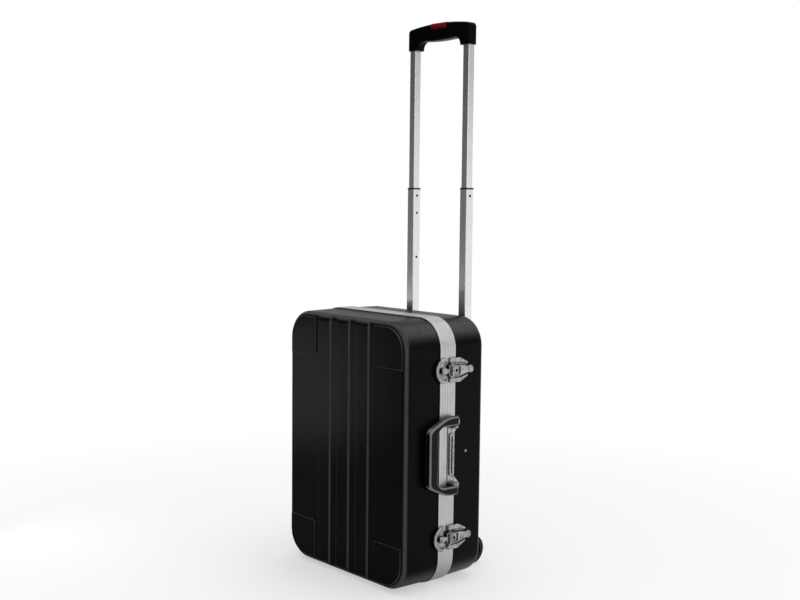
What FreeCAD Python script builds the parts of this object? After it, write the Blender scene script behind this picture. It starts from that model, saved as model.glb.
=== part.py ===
"""Rolling laptop case: two ABS half shells in an aluminium frame, with a bolted-on trolley.

The case stands upright.  Working frame of this file, in millimetres: X = 0 in the middle of the
width with the latches on +X and the hinges on -X, Y = 0 on the ribbed front, Z = 0 on the lowest
line of the shells.  save() moves every piece into the part's own frame, whose origin is on the
floor under the middle of the whole object.
"""
import FreeCAD, Part
import math
import os
from FreeCAD import Vector

os.makedirs("parts", exist_ok=True)

# ---- case shells
CASE_W = 340.0          # width, X
CASE_D = 194.0          # depth, Y
CASE_H = 480.0          # height, Z
CORNER_R = 53.0         # corners of the front outline
EDGE_R = 11.0           # rounding between the faces and the sides
DRAFT = 1.3             # how much smaller each side is at the outer face
WALL = 3.0              # ABS wall
SEAM_Y = 98.0           # plane between lid and base
SEAM_GAP = 0.3          # gap between the two frames when shut
RELIEF = 2.4            # height of the ribs and corner pads
RIB_W = 31.0            # crest width of a rib
RIB_PITCH = 55.0        # rib to rib
RIB_SHIFT = -4.0        # middle rib, from the middle of the case
RIB_FLANK = 3.5         # how much each flank spreads over the relief
RIB_EDGE = 1.2          # softened brow of a rib
PAD_IN_X = 84.0         # inner edge of a corner pad on the front
BACK_PAD_IN_X = 100.0   # the same on the back, beside the trolley brackets
PAD_LEN = 83.0          # height of a corner pad, from the end of the case
PAD_INSET = 10.0        # pad outline to case outline
PAD_R = 9.0             # rounded inner corner of a pad
PAD_EDGE = 1.6          # softened rim of a pad

# ---- aluminium frame
BAND_W = 18.3           # width of each half frame, Y
BAND_PROUD = 2.0        # how far it stands out of the shells
FRAME_FIT = 0.1         # room between frame and shell wall
INNER_T = 1.5           # inner flange
WEB_T = 2.0             # web that the shell's rim seats on
GROOVE_DEPTH = 4.0      # groove of the base frame
GROOVE_MARGIN = 0.1     # groove to the outer flange's inner face
TONGUE_T = 1.8          # tongue of the lid frame
TONGUE_H = 3.0          # how far the tongue stands out of the lid frame
TONGUE_SIDE = 0.5       # side clearance of the tongue
GASKET_T = 1.0          # thickness of the seal in the groove
BEAD_W = 0.9            # width of the lengthwise lines in the frame
BEAD_DEPTH = 0.2        # depth of those lines
BEAD_PLACES = (0.36, 0.68)  # their places across each half frame

# ---- feet
FOOT_H = 3.0
FOOT_R = 9.0
FOOT_X = 105.0
FOOT_EDGE_Y = 32.0      # from the front and from the back face
FOOT_LIP = 0.6          # chamfer of its lower rim

# ---- butt hinges on -X
HINGE_END = 110.0       # hinge middles, from the ends of the case
HINGE_LEN = 60.0
KNUCKLES = 5
KNUCKLE_R = 3.2
KNUCKLE_GAP = 0.3
LEAF_T = 1.6
LEAF_W = 15.0
LEAF_R = 3.0            # corners of a leaf
HINGE_PIN_R = 1.6
PIN_HEAD_R = 2.3
PIN_HEAD_H = 1.0
PIN_FIT = 0.05          # radial running clearance of every pin
HINGE_STAND = 0.3       # knuckle to frame
RIVET_R = 3.4           # radius of the ball that a rivet's dome is cut from
RIVET_SINK = 2.1        # the ball's middle, below the leaf
RIVET_EDGE = 5.0        # rivet to the leaf's long edge

# ---- latches on +X; U is the distance from the seam to the back, W the height above the frame
LATCH_END = 89.0        # latch middles, from the ends of the case
LATCH_HALF = 22.0       # half length of the back plate, Z
LATCH_PLATE_T = 2.0
LATCH_START = 1.0       # U of the plate's start
LATCH_SHOULDER = 26.0   # U where the plate begins to taper
LATCH_REACH = 45.0      # U of the plate's end
LATCH_TAIL_HALF = 12.5
LATCH_SHOULDER_R = 9.0
LATCH_CORNER_R = 4.0
RIM_IN = 14.4           # inner wall of the two raised rims
RIM_TAIL_IN = 9.3       # the same at the tail
RIM_H = 4.8             # W of the rims' top
RIM_RAMP = 3.0          # sloping start of the rims
RIM_EDGE = 0.7
CHEEK_IN = 10.6         # cheeks that hold the lever's pin
CHEEK_T = 2.4
CHEEK_START = 1.2
CHEEK_END = 8.6
CHEEK_H = 6.8
CHEEK_R = 2.4
LEVER_HALF = 8.5
LEVER_LOW = 2.6
LEVER_TOP = 10.0
LEVER_PIVOT = (4.0, 5.5)    # U, W
LINK_PIVOT = (9.5, 8.0)
LEVER_EYE_R = 3.2
LEVER_NOSE_R = 3.4      # upper front edge, which turns past the plate
LEVER_PIN_R = 1.4
LINK_PIN_R = 1.2
LINK_PIN_IN = 6.0       # inner ends of the claw's two short pins, from the lever's middle
LINK_EYE_R = 2.2
LEVER_BLOCK = 25.5      # U where the thick part of the lever ends
NECK_LOW = 5.0          # underside of neck and tab, below the lever's top
NECK_T = 3.4
NECK_HALF = 4.6         # half width of the neck at the tab
TAB_U = 48.5
TAB_R = 6.8
TAB_T = 4.0
TAB_EDGE = 1.4
DISH_R = 16.0           # ball that hollows the thumb tab
DISH_DEPTH = 1.2
ARM_T = 1.5             # claw's side arms
ARM_GAP = 0.3
CLAW_T = 2.5
CLAW_NOSE = -21.0
CLAW_HALF = 5.4
CLAW_NECK = -9.0
CLAW_TONGUE_HALF = 3.4    # narrow tongue between nose and bridge
CLAW_BRIDGE = 3.2       # width of the bridge, U
LOCK_U = 12.6
LOCK_R = 5.0
LOCK_LOW = 3.2
LOCK_BAR_U = 9.4        # raised bars, each side of the lock
LOCK_BAR_W = 3.6
LOCK_BAR_HALF = 7.2
LOCK_BAR_H = 1.0
LOCK_BAR_DEEP = 2.2     # how far the bars go down into the lever
LOCK_POCKET = 1.3       # depth of the pocket between the bars
KEYHOLE_R = 2.8
KEY_SLOT = (1.6, 6.4)   # width, length
KEY_DEPTH = 4.0
STRIKE_R = 23.0
STRIKE_RING = 5.5
STRIKE_U = -9.0
STRIKE_H = 5.0
STRIKE_BASE_T = 1.5
STRIKE_EDGE = 1.6
STRIKE_END = -7.0       # U where the crescent ends
KEEPER_U = (-17.5, -12.0)
KEEPER_HALF = 4.5

# ---- carry handle on +X
HANDLE_DROP = 1.0       # handle's middle below the middle of the case
HANDLE_PIVOT_U = 10.0
HANDLE_PIVOT_W = 9.0
HANDLE_HUB_R = 7.6
HANDLE_HALF = 71.0      # outer half length, Z
HANDLE_LEG = 17.0       # leg thickness, Z
HANDLE_REACH = 65.0     # pivot to the far side of the bar
HANDLE_BAR = 20.0       # bar depth when folded, Y
HANDLE_T = 15.0         # bar thickness, X
HANDLE_SWELL = 3.0      # the bar is this much deeper in its middle
HANDLE_SWELL_R = 300.0
HANDLE_EDGE = 5.4
HANDLE_TAPER = 20.0     # bar shorter than the legs' spread, each end
HANDLE_SHOULDER = 22.0  # pivot to where the legs start to lean in
HANDLE_SHOULDER_R = 60.0
HANDLE_CORNER_R = 16.0
HANDLE_PIN_R = 3.0
HANDLE_PIN_SKIN = 4.0   # plastic left outside the end of each pin hole
HANDLE_PLATE_IN = 3.0   # plate shorter than the handle, each end
HANDLE_PLATE_T = 1.2
PLATE_FLARE = 13.0      # flared ends beyond the frame
EAR_T = 4.0
EAR_GAP = 0.4
RAIL_IN = 16.0          # raised rail shorter than the space between the legs
RAIL_U = 4.0            # rail's side to the frame's edge
RAIL_H = 2.2
SLOT_U = 7.5
STRAP_RIVET_U = 49.0

# ---- trolley
TUBE_X = 73.8           # centre of each tube
TROLLEY_OFF = 41.0      # back face to the tubes' centre plane
OUTER_SQ = 22.0
OUTER_WALL = 1.6
MID_SQ = 18.0
MID_WALL = 1.1
INNER_SQ = 15.2
INNER_WALL = 1.1
TUBE_CORNER = 1.4
OUTER_BOTTOM = 34.0
OUTER_DROP = 50.0       # outer tubes' top below the top of the case
MID_OUT = 281.0         # middle tubes' top above the outer tubes', drawn out
INNER_OUT = 269.0       # grip's legs above the middle tubes' top, drawn out
MID_OVERLAP = 43.0      # middle tube left inside the outer one when drawn out
INNER_OVERLAP = 42.0    # inner tube left inside the middle one when drawn out
COLLAR_T = 3.0
COLLAR_OVER = 0.5       # collar wider than the middle tube, each side
LOCK_HOLE_R = 2.6
LOCK_HOLE_DROPS = (12.0, 46.0, 133.0)
STUD_PROUD = 0.2
BRACKET_DROP = 3.0      # bracket's top below the outer tubes'
BRACKET_H = 32.0
BRACKET_WALL = 5.0
BRACKET_T = 7.0         # plate against the case's back
CLAMP_GAP = 0.1         # bracket to outer tube

# ---- trolley grip
GRIP_HALF = 84.0
GRIP_DEPTH = 22.0
GRIP_LEG = 17.0         # legs' lower ends to the bar's underside
GRIP_BAR = 23.0         # underside to the top, at the ends
GRIP_LEG_W = 25.0
GRIP_CROWN = 6.0        # rise of the top in the middle
GRIP_BELLY = 2.5        # convex finger side
GRIP_INNER_R = 15.0
GRIP_TOP_R = 8.0
GRIP_EDGE = 4.0
SOCKET_DEPTH = 20.0
SOCKET_FIT = 0.05
BUTTON_HALF = 23.0
BUTTON_SKIRT = 6.5      # how far the button reaches down the grip's faces
BUTTON_STEM = 15.0      # depth of the stem under the button
BUTTON_PROUD = 1.0
BUTTON_TRAVEL = 4.0
BUTTON_FLOOR = 0.5      # left free under the pressed button
BUTTON_GAP = 0.3
BUTTON_R = 2.5
ROD_R = 2.0
ROD_GAP = 0.6
YOKE_T = 4.0
YOKE_RISE = 10.0        # yoke above the bar's underside

# ---- wheels
WHEEL_R = 27.0
WHEEL_W = 21.0
WHEEL_OFF = 42.0        # back face to the axle
WHEEL_GAP = 0.6         # housing to wheel
TYRE_T = 6.0
TYRE_EDGE = 3.5
HUB_RIM = 3.0
HUB_DISH = 5.0
HUB_BOSS = 4.0          # boss round the axle
HUB_HOLES = 6
HUB_HOLE_R = 3.6
HUB_HOLE_DEPTH = 12.0
AXLE_R = 4.0
AXLE_HEAD_R = 6.5
AXLE_HEAD_T = 2.0
AXLE_PLAY = 0.4
HOUSING_OVER = 1.0      # housing wider than the outer tube, outer side
HOUSING_W = 28.0
HOUSING_TOP = 78.0
HOUSING_PLATE_H = 40.0
SCREW_OFF = 20.0        # upper screws, from the tube towards the middle
LOW_SCREW_OFF = 10.0    # lower screws, from the housing
LOW_SCREW_DROP = 14.0
SCREW_R = 2.9
SCREW_HEAD_R = 5.5
SCREW_HEAD_H = 2.6
SCREW_FIT = 0.3

# ---- inside
LINING_GAP = 1.0        # foam to shell
FOAM_SIDE = 24.0        # foam left round the laptop well
FOAM_BACK = 14.0        # foam under the well
FOAM_FRONT = 6.0        # foam's front below the seam
WELL_R = 22.0
CUSHION_GAP = 0.6       # cushion to the well's sides
CUSHION_T = 8.0
SOFT_GAP = 0.3          # soft piece to what it lies on
STRAP_W = 38.0
STRAP_T = 2.0
STRAP_HOLD = 12.0       # strap's ends on the foam's rim
LID_PAD_T = 14.0
POCKET_T = 9.0
POCKET_W = 250.0
POCKET_H = 240.0
POCKET_LOW = 60.0
POCKET_R = 14.0

# ---- worked out from the above
BAND_X = CASE_W / 2 + BAND_PROUD
HALF_GAP = SEAM_GAP / 2
BACK_Y = CASE_D
LID_DEPTH = SEAM_Y
BASE_DEPTH = BACK_Y - SEAM_Y
SKIN_Y = BACK_Y - RELIEF                        # the back face between its corner pads
MID_Z = CASE_H / 2
HINGE_X = -(BAND_X + HINGE_STAND + KNUCKLE_R)
HINGE_Z = (HINGE_END, CASE_H - HINGE_END)
LATCH_Z = (LATCH_END, CASE_H - LATCH_END)
HANDLE_Z = MID_Z - HANDLE_DROP
HANDLE_X = BAND_X + HANDLE_PIVOT_W
HANDLE_Y = SEAM_Y + HANDLE_PIVOT_U
HANDLE_OUT = HANDLE_X + HANDLE_T / 2
LEG_IN = HANDLE_HALF - HANDLE_LEG
TROLLEY_Y = BACK_Y + TROLLEY_OFF
OUTER_TOP = CASE_H - OUTER_DROP
MID_TOP = OUTER_TOP + MID_OUT
MID_BOTTOM = OUTER_TOP - MID_OVERLAP
INNER_BOTTOM = MID_TOP - INNER_OVERLAP
GRIP_LEG_Z = MID_TOP + INNER_OUT
GRIP_UNDER_Z = GRIP_LEG_Z + GRIP_LEG
GRIP_END_Z = GRIP_UNDER_Z + GRIP_BAR
INNER_TOP = GRIP_LEG_Z + SOCKET_DEPTH
YOKE_Z = GRIP_UNDER_Z + YOKE_RISE
YOKE_X = TUBE_X + ROD_R + 1.0
BUTTON_TOP = GRIP_END_Z + GRIP_CROWN + BUTTON_PROUD
BUTTON_LOW = GRIP_END_Z + GRIP_CROWN - BUTTON_SKIRT
BRACKET_TOP = OUTER_TOP - BRACKET_DROP
WHEEL_Y = BACK_Y + WHEEL_OFF
WHEEL_Z = WHEEL_R - FOOT_H
HOUSING_OUT = TUBE_X + OUTER_SQ / 2 + HOUSING_OVER
WHEEL_IN = HOUSING_OUT + WHEEL_GAP
WHEEL_OUT = WHEEL_IN + WHEEL_W
WALL_MID_U = HALF_GAP + GROOVE_DEPTH + WEB_T    # base rim, from the seam
LID_RIM_U = HALF_GAP + WEB_T                    # lid rim, from the seam
ORIGIN = Vector((HANDLE_OUT + HINGE_X - KNUCKLE_R) / 2, (WHEEL_Y + WHEEL_R) / 2, -FOOT_H)


# ---------------------------------------------------------------- helpers

def save(node, shape):
    """Move a piece into the part's frame and write it."""
    piece = shape.copy()
    piece.translate(ORIGIN * -1)
    if not piece.isValid() or piece.Volume <= 0:
        print("BAD SHAPE", node, piece.isValid(), piece.Volume)
    piece.exportStep("parts/" + node + ".step")
    print("%-24s %10.1f mm3  %d solid(s)" % (node, piece.Volume, len(piece.Solids)))


def box(x0, x1, y0, y1, z0, z1):
    return Part.makeBox(x1 - x0, y1 - y0, z1 - z0, Vector(x0, y0, z0))


def rod(radius, start, end):
    """Round bar from one point to another."""
    a = Vector(*start)
    run = Vector(*end) - a
    return Part.makeCylinder(radius, run.Length, a, run)


def outline(points):
    """Closed wire; a point written (p, q, r) has a corner rounded with radius r."""
    edges = []
    count = len(points)
    starts = []
    ends = []
    for i, point in enumerate(points):
        here = Vector(point[0], point[1], 0)
        before = Vector(points[i - 1][0], points[i - 1][1], 0)
        after = Vector(points[(i + 1) % count][0], points[(i + 1) % count][1], 0)
        radius = point[2] if len(point) > 2 else 0.0
        if radius == 0.0:
            starts.append(here)
            ends.append(here)
            continue
        u = (before - here).normalize()
        v = (after - here).normalize()
        half = u.getAngle(v) / 2
        reach = radius / math.tan(half)
        middle = (u + v).normalize()
        centre = here + middle * (radius / math.sin(half))
        first = here + u * reach
        last = here + v * reach
        starts.append(first)
        ends.append(last)
        edges.append(Part.Arc(first, centre - middle * radius, last).toShape())
    for i in range(count):
        a = ends[i]
        b = starts[(i + 1) % count]
        if (b - a).Length > 1e-6:
            edges.append(Part.LineSegment(a, b).toShape())
    return Part.Wire(Part.__sortEdges__(edges))


def prism_x(points, x0, x1):
    """Solid with its outline in (Y, Z), from x0 to x1."""
    wire = outline(points)
    wire.rotate(Vector(0, 0, 0), Vector(1, 1, 1), 120)
    wire.translate(Vector(x0, 0, 0))
    return Part.Face(wire).extrude(Vector(x1 - x0, 0, 0))


def prism_y(points, y0, y1):
    """Solid with its outline in (X, Z), from y0 to y1."""
    wire = outline(points)
    wire.rotate(Vector(0, 0, 0), Vector(1, 0, 0), 90)
    wire.translate(Vector(0, y0, 0))
    return Part.Face(wire).extrude(Vector(0, y1 - y0, 0))


def prism_z(points, z0, z1):
    """Solid with its outline in (X, Y), from z0 to z1."""
    wire = outline(points)
    wire.translate(Vector(0, 0, z0))
    return Part.Face(wire).extrude(Vector(0, 0, z1 - z0))


def case_wire(offset, y):
    """The case's front outline, grown by an offset, at one depth."""
    w = CASE_W / 2 + offset
    low = -offset
    high = CASE_H + offset
    r = CORNER_R + offset
    wire = outline([(-w, low, r), (w, low, r), (w, high, r), (-w, high, r)])
    wire.rotate(Vector(0, 0, 0), Vector(1, 0, 0), 90)
    wire.translate(Vector(0, y, 0))
    return wire


def case_ring(outer, inner, y0, y1):
    """Ring that follows the case's outline between two offsets."""
    solid = Part.Face(case_wire(outer, y0)).extrude(Vector(0, y1 - y0, 0))
    hole = Part.Face(case_wire(inner, y0)).extrude(Vector(0, y1 - y0, 0))
    return solid.cut(hole)


def edges_at(solid, axis, place):
    """Edges that lie wholly in one plane across an axis."""
    found = []
    for edge in solid.Edges:
        low = getattr(edge.BoundBox, axis + "Min")
        high = getattr(edge.BoundBox, axis + "Max")
        if abs(low - place) < 1e-4 and abs(high - place) < 1e-4:
            found.append(edge)
    return found


def case_half(side, start, depth, inset, edge):
    """Solid half of the case: side -1 is the lid, +1 the base; lengths from the seam plane."""
    straight_end = SEAM_Y + side * BAND_W
    far = SEAM_Y + side * depth
    near = SEAM_Y + side * start
    straight = Part.Face(case_wire(-inset, near)).extrude(Vector(0, straight_end - near, 0))
    tapered = Part.makeLoft([case_wire(-inset, straight_end), case_wire(-inset - DRAFT, far)], True, True)
    solid = straight.fuse(tapered).removeSplitter()
    return solid.makeFillet(edge, edges_at(solid, "Y", far))


def corner_pads(side, face_y, pad_in):
    """Four raised corner pads on the front or back face."""
    below = 2 * RELIEF
    y0, y1 = sorted((face_y, face_y - side * below))
    field = Part.Face(case_wire(-PAD_INSET, y0)).extrude(Vector(0, y1 - y0, 0))
    pads = []
    for sx in (-1, 1):
        for z0, z1, inner in ((0, PAD_LEN, PAD_LEN), (CASE_H - PAD_LEN, CASE_H, CASE_H - PAD_LEN)):
            x_in = sx * pad_in
            x_out = sx * CASE_W
            end = z0 if inner == z1 else z1
            corner = [(x_in, inner, PAD_R), (x_out, inner), (x_out, end), (x_in, end)]
            pad = prism_y(corner, y0, y1).common(field)
            pads.append(pad.makeFillet(PAD_EDGE, edges_at(pad, "Y", face_y)))
    return pads


# ---------------------------------------------------------------- shells

def rib(side, middle, face_y, crest):
    """One upright rib with leaning flanks and soft brows, ended by the case's own rounding."""
    half = RIB_W / 2
    root_y = face_y - side * 2 * RELIEF
    spread = half + 2 * RIB_FLANK
    section = [(middle - half, face_y), (middle + half, face_y), (middle + spread, root_y),
               (middle - spread, root_y)]
    bar = prism_z(section, 0.0, CASE_H).common(crest)
    brows = [e for e in edges_at(bar, "Y", face_y) if e.BoundBox.ZLength > CASE_H / 2]
    return bar.makeFillet(RIB_EDGE, brows)


def half_shell(side, rim_start, depth, ribs):
    """One vacuum-formed half: thin wall, corner pads, and ribs on the lid."""
    outer = case_half(side, rim_start, depth - RELIEF, 0.0, EDGE_R)
    face_y = SEAM_Y + side * depth
    if ribs:
        crest = case_half(side, rim_start, depth, 0.0, EDGE_R + RELIEF)
        for i in (-1, 0, 1):
            outer = outer.fuse(rib(side, RIB_SHIFT + i * RIB_PITCH, face_y, crest))
    for pad in corner_pads(side, face_y, PAD_IN_X if ribs else BACK_PAD_IN_X):
        outer = outer.fuse(pad)
    inner = case_half(side, rim_start, depth - RELIEF - WALL, WALL, EDGE_R - WALL)
    return outer.removeSplitter().cut(inner)


lid_shell = half_shell(-1, LID_RIM_U, LID_DEPTH, True)
base_shell = half_shell(1, WALL_MID_U, BASE_DEPTH, False)


# ---------------------------------------------------------------- aluminium frame

def half_frame(side, rim_start):
    """One half of the frame: outer flange, inner flange and the web that the shell seats on."""
    y_seam = SEAM_Y + side * HALF_GAP
    y_rim = SEAM_Y + side * rim_start
    y_far = SEAM_Y + side * BAND_W
    inner_in = -(WALL + FRAME_FIT + INNER_T)
    frame = case_ring(BAND_PROUD, inner_in, y_seam, y_rim)
    frame = frame.fuse(case_ring(BAND_PROUD, FRAME_FIT, y_rim, y_far))
    frame = frame.fuse(case_ring(-(WALL + FRAME_FIT), inner_in, y_rim, y_far)).removeSplitter()
    for place in BEAD_PLACES:
        y_line = SEAM_Y + side * BAND_W * place
        line = case_ring(BAND_PROUD + 1, BAND_PROUD - BEAD_DEPTH, y_line - BEAD_W / 2, y_line + BEAD_W / 2)
        frame = frame.cut(line)
    return frame


groove_out = -GROOVE_MARGIN
groove_in = groove_out - TONGUE_T - 2 * TONGUE_SIDE
tongue_out = groove_out - TONGUE_SIDE
tongue_in = tongue_out - TONGUE_T
groove_floor = SEAM_Y + HALF_GAP + GROOVE_DEPTH
base_frame = half_frame(1, WALL_MID_U).cut(case_ring(groove_out, groove_in, SEAM_Y, groove_floor))
tongue_tip = SEAM_Y - HALF_GAP + TONGUE_H
lid_frame = half_frame(-1, LID_RIM_U).fuse(case_ring(tongue_out, tongue_in, SEAM_Y - LID_RIM_U, tongue_tip))
lid_frame = lid_frame.removeSplitter()
gasket = case_ring(tongue_out, tongue_in, groove_floor - GASKET_T, groove_floor)

save("base_shell", base_shell)
save("lid_shell", lid_shell)
save("base_frame", base_frame)
save("lid_frame", lid_frame)
save("gasket", gasket)


# ---------------------------------------------------------------- feet

def foot(x, y, shell_side):
    """Low round glide, shaped to the underside of the shell."""
    glide = Part.makeCylinder(FOOT_R, FOOT_H + 2 * DRAFT, Vector(x, y, -FOOT_H))
    depth = LID_DEPTH if shell_side < 0 else BASE_DEPTH
    glide = glide.cut(case_half(shell_side, 0.0, depth - RELIEF, 0.0, EDGE_R))
    return glide.makeChamfer(FOOT_LIP, edges_at(glide, "Z", -FOOT_H))


for name, shell_side, y in (("lid", -1, FOOT_EDGE_Y), ("base", 1, BACK_Y - FOOT_EDGE_Y)):
    for hand, x in (("hinge_side", -FOOT_X), ("latch_side", FOOT_X)):
        save("foot_%s_%s" % (name, hand), foot(x, y, shell_side))


# ---------------------------------------------------------------- hinges

def hinge_leaf(side, z0):
    """One leaf with its share of the knuckles and its three rivets."""
    axis_low = (HINGE_X, SEAM_Y, z0 - 1)
    axis_high = (HINGE_X, SEAM_Y, z0 + HINGE_LEN + 1)
    clear = KNUCKLE_R + HINGE_STAND
    outer_x = -BAND_X - LEAF_T
    y0, y1 = sorted((SEAM_Y, SEAM_Y + side * LEAF_W))
    leaf = box(outer_x, -BAND_X, y0, y1, z0, z0 + HINGE_LEN)
    corners = [e for e in edges_at(leaf, "Y", SEAM_Y + side * LEAF_W) if e.BoundBox.XLength > 1e-3]
    leaf = leaf.makeFillet(LEAF_R, corners).cut(rod(clear, axis_low, axis_high))
    pitch = HINGE_LEN / KNUCKLES
    for k in range(KNUCKLES):
        if (k % 2 == 0) != (side == 1):
            continue
        low = z0 + k * pitch + (KNUCKLE_GAP / 2 if k else 0.0)
        high = z0 + (k + 1) * pitch - (KNUCKLE_GAP / 2 if k < KNUCKLES - 1 else 0.0)
        leaf = leaf.fuse(rod(KNUCKLE_R, (HINGE_X, SEAM_Y, low), (HINGE_X, SEAM_Y, high)))
        y0, y1 = sorted((SEAM_Y + side * KNUCKLE_GAP, SEAM_Y + side * (clear + 0.5)))
        leaf = leaf.fuse(box(outer_x, -BAND_X - HINGE_STAND, y0, y1, low, high))
    leaf = leaf.cut(rod(HINGE_PIN_R + PIN_FIT, axis_low, axis_high)).removeSplitter()
    y_rivet = SEAM_Y + side * (LEAF_W - RIVET_EDGE)
    for dz in (-HINGE_LEN / 3, 0.0, HINGE_LEN / 3):
        z = z0 + HINGE_LEN / 2 + dz
        dome = Part.makeSphere(RIVET_R, Vector(outer_x + RIVET_SINK, y_rivet, z))
        room = box(outer_x - RIVET_R, outer_x + LEAF_T / 2, y_rivet - RIVET_R, y_rivet + RIVET_R,
                   z - RIVET_R, z + RIVET_R)
        leaf = leaf.fuse(dome.common(room))
    return leaf


def hinge_pin(z0):
    """Pin with a flat head at each end."""
    z1 = z0 + HINGE_LEN
    pin = rod(HINGE_PIN_R, (HINGE_X, SEAM_Y, z0 - PIN_HEAD_H), (HINGE_X, SEAM_Y, z1 + PIN_HEAD_H))
    for z in (z0 - PIN_HEAD_H, z1):
        pin = pin.fuse(rod(PIN_HEAD_R, (HINGE_X, SEAM_Y, z), (HINGE_X, SEAM_Y, z + PIN_HEAD_H)))
    return pin


for name, middle in (("lower", HINGE_Z[0]), ("upper", HINGE_Z[1])):
    hinge_low = middle - HINGE_LEN / 2
    save("hinge_%s_base_leaf" % name, hinge_leaf(1, hinge_low))
    save("hinge_%s_lid_leaf" % name, hinge_leaf(-1, hinge_low))
    save("hinge_%s_pin" % name, hinge_pin(hinge_low))


# ---------------------------------------------------------------- latches

def at_latch(u, w):
    """Seam distance and height above the frame, as X and Y."""
    return BAND_X + w, SEAM_Y + u


def latch_slab(points, w0, w1, z):
    """Slab with its outline in (seam distance, distance from the latch's middle)."""
    return prism_x([(SEAM_Y + p[0], z + p[1]) + tuple(p[2:]) for p in points], BAND_X + w0, BAND_X + w1)


def latch_side(points, z0, z1):
    """Slab with its outline in (seam distance, height above the frame), from z0 to z1."""
    low, high = sorted((z0, z1))
    return prism_z([(BAND_X + p[1], SEAM_Y + p[0]) + tuple(p[2:]) for p in points], low, high)


def latch_round(u, radius, w0, w1, z):
    """Disc that stands on the frame."""
    x, y = at_latch(u, w0)
    return Part.makeCylinder(radius, w1 - w0, Vector(x, y, z), Vector(1, 0, 0))


def cross_pin(radius, place, z, half):
    """Pin along Z through a place given as (seam distance, height above the frame)."""
    x, y = at_latch(*place)
    return rod(radius, (x, y, z - half), (x, y, z + half))


def slab_rect(u0, u1, half, radius):
    """Rounded rectangle for latch_slab."""
    return [(u0, -half, radius), (u1, -half, radius), (u1, half, radius), (u0, half, radius)]


def plate_rims(shape, z):
    """The plate's two raised rims, with sloping starts and soft upper edges."""
    channel = [(LATCH_START - 1, -RIM_IN), (LATCH_SHOULDER, -RIM_IN, LATCH_SHOULDER_R),
               (LATCH_REACH + 1, -RIM_TAIL_IN), (LATCH_REACH + 1, RIM_TAIL_IN),
               (LATCH_SHOULDER, RIM_IN, LATCH_SHOULDER_R), (LATCH_START - 1, RIM_IN)]
    rims = latch_slab(shape, 0.0, RIM_H, z)
    rims = rims.makeFillet(RIM_EDGE, edges_at(rims, "X", BAND_X + RIM_H))
    rims = rims.cut(latch_slab(channel, -1.0, RIM_H + 1, z))
    before = LATCH_START - 1
    ramp = [(before, RIM_H - RIM_RAMP), (LATCH_START + RIM_RAMP, RIM_H + 1), (before, RIM_H + 1)]
    return rims.cut(latch_side(ramp, z - LATCH_HALF - 1, z + LATCH_HALF + 1))


def latch_plate(z):
    """Back plate with raised rims, two cheeks and the lever's pivot pin."""
    wide = LATCH_HALF
    tail = LATCH_TAIL_HALF
    shape = [(LATCH_START, -wide, LATCH_CORNER_R), (LATCH_SHOULDER, -wide, LATCH_SHOULDER_R),
             (LATCH_REACH, -tail, LATCH_CORNER_R), (LATCH_REACH, tail, LATCH_CORNER_R),
             (LATCH_SHOULDER, wide, LATCH_SHOULDER_R), (LATCH_START, wide, LATCH_CORNER_R)]
    plate = latch_slab(shape, 0.0, LATCH_PLATE_T, z).fuse(plate_rims(shape, z))
    step = BAND_W + FRAME_FIT
    shoe = slab_rect(step, LATCH_REACH - LATCH_CORNER_R, tail - 1.0, 0.0)
    plate = plate.fuse(latch_slab(shoe, -BAND_PROUD + FRAME_FIT, 0.0, z))
    top = LATCH_PLATE_T + CHEEK_H - CHEEK_R / 2
    side = [(CHEEK_START, 0.0), (CHEEK_START, top, CHEEK_R), (CHEEK_END, top, CHEEK_R), (CHEEK_END, 0.0)]
    for s in (-1, 1):
        plate = plate.fuse(latch_side(side, z + s * CHEEK_IN, z + s * (CHEEK_IN + CHEEK_T)))
    reach = CHEEK_IN + CHEEK_T + RIM_EDGE
    return plate.fuse(cross_pin(LEVER_PIN_R, LEVER_PIVOT, z, reach)).removeSplitter()


def link_pin(radius, z, s, z0, z1):
    """Pin in the lever's side, on the claw's axis, between two distances from the middle."""
    x, y = at_latch(*LINK_PIVOT)
    return rod(radius, (x, y, z + s * z0), (x, y, z + s * z1))


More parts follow.
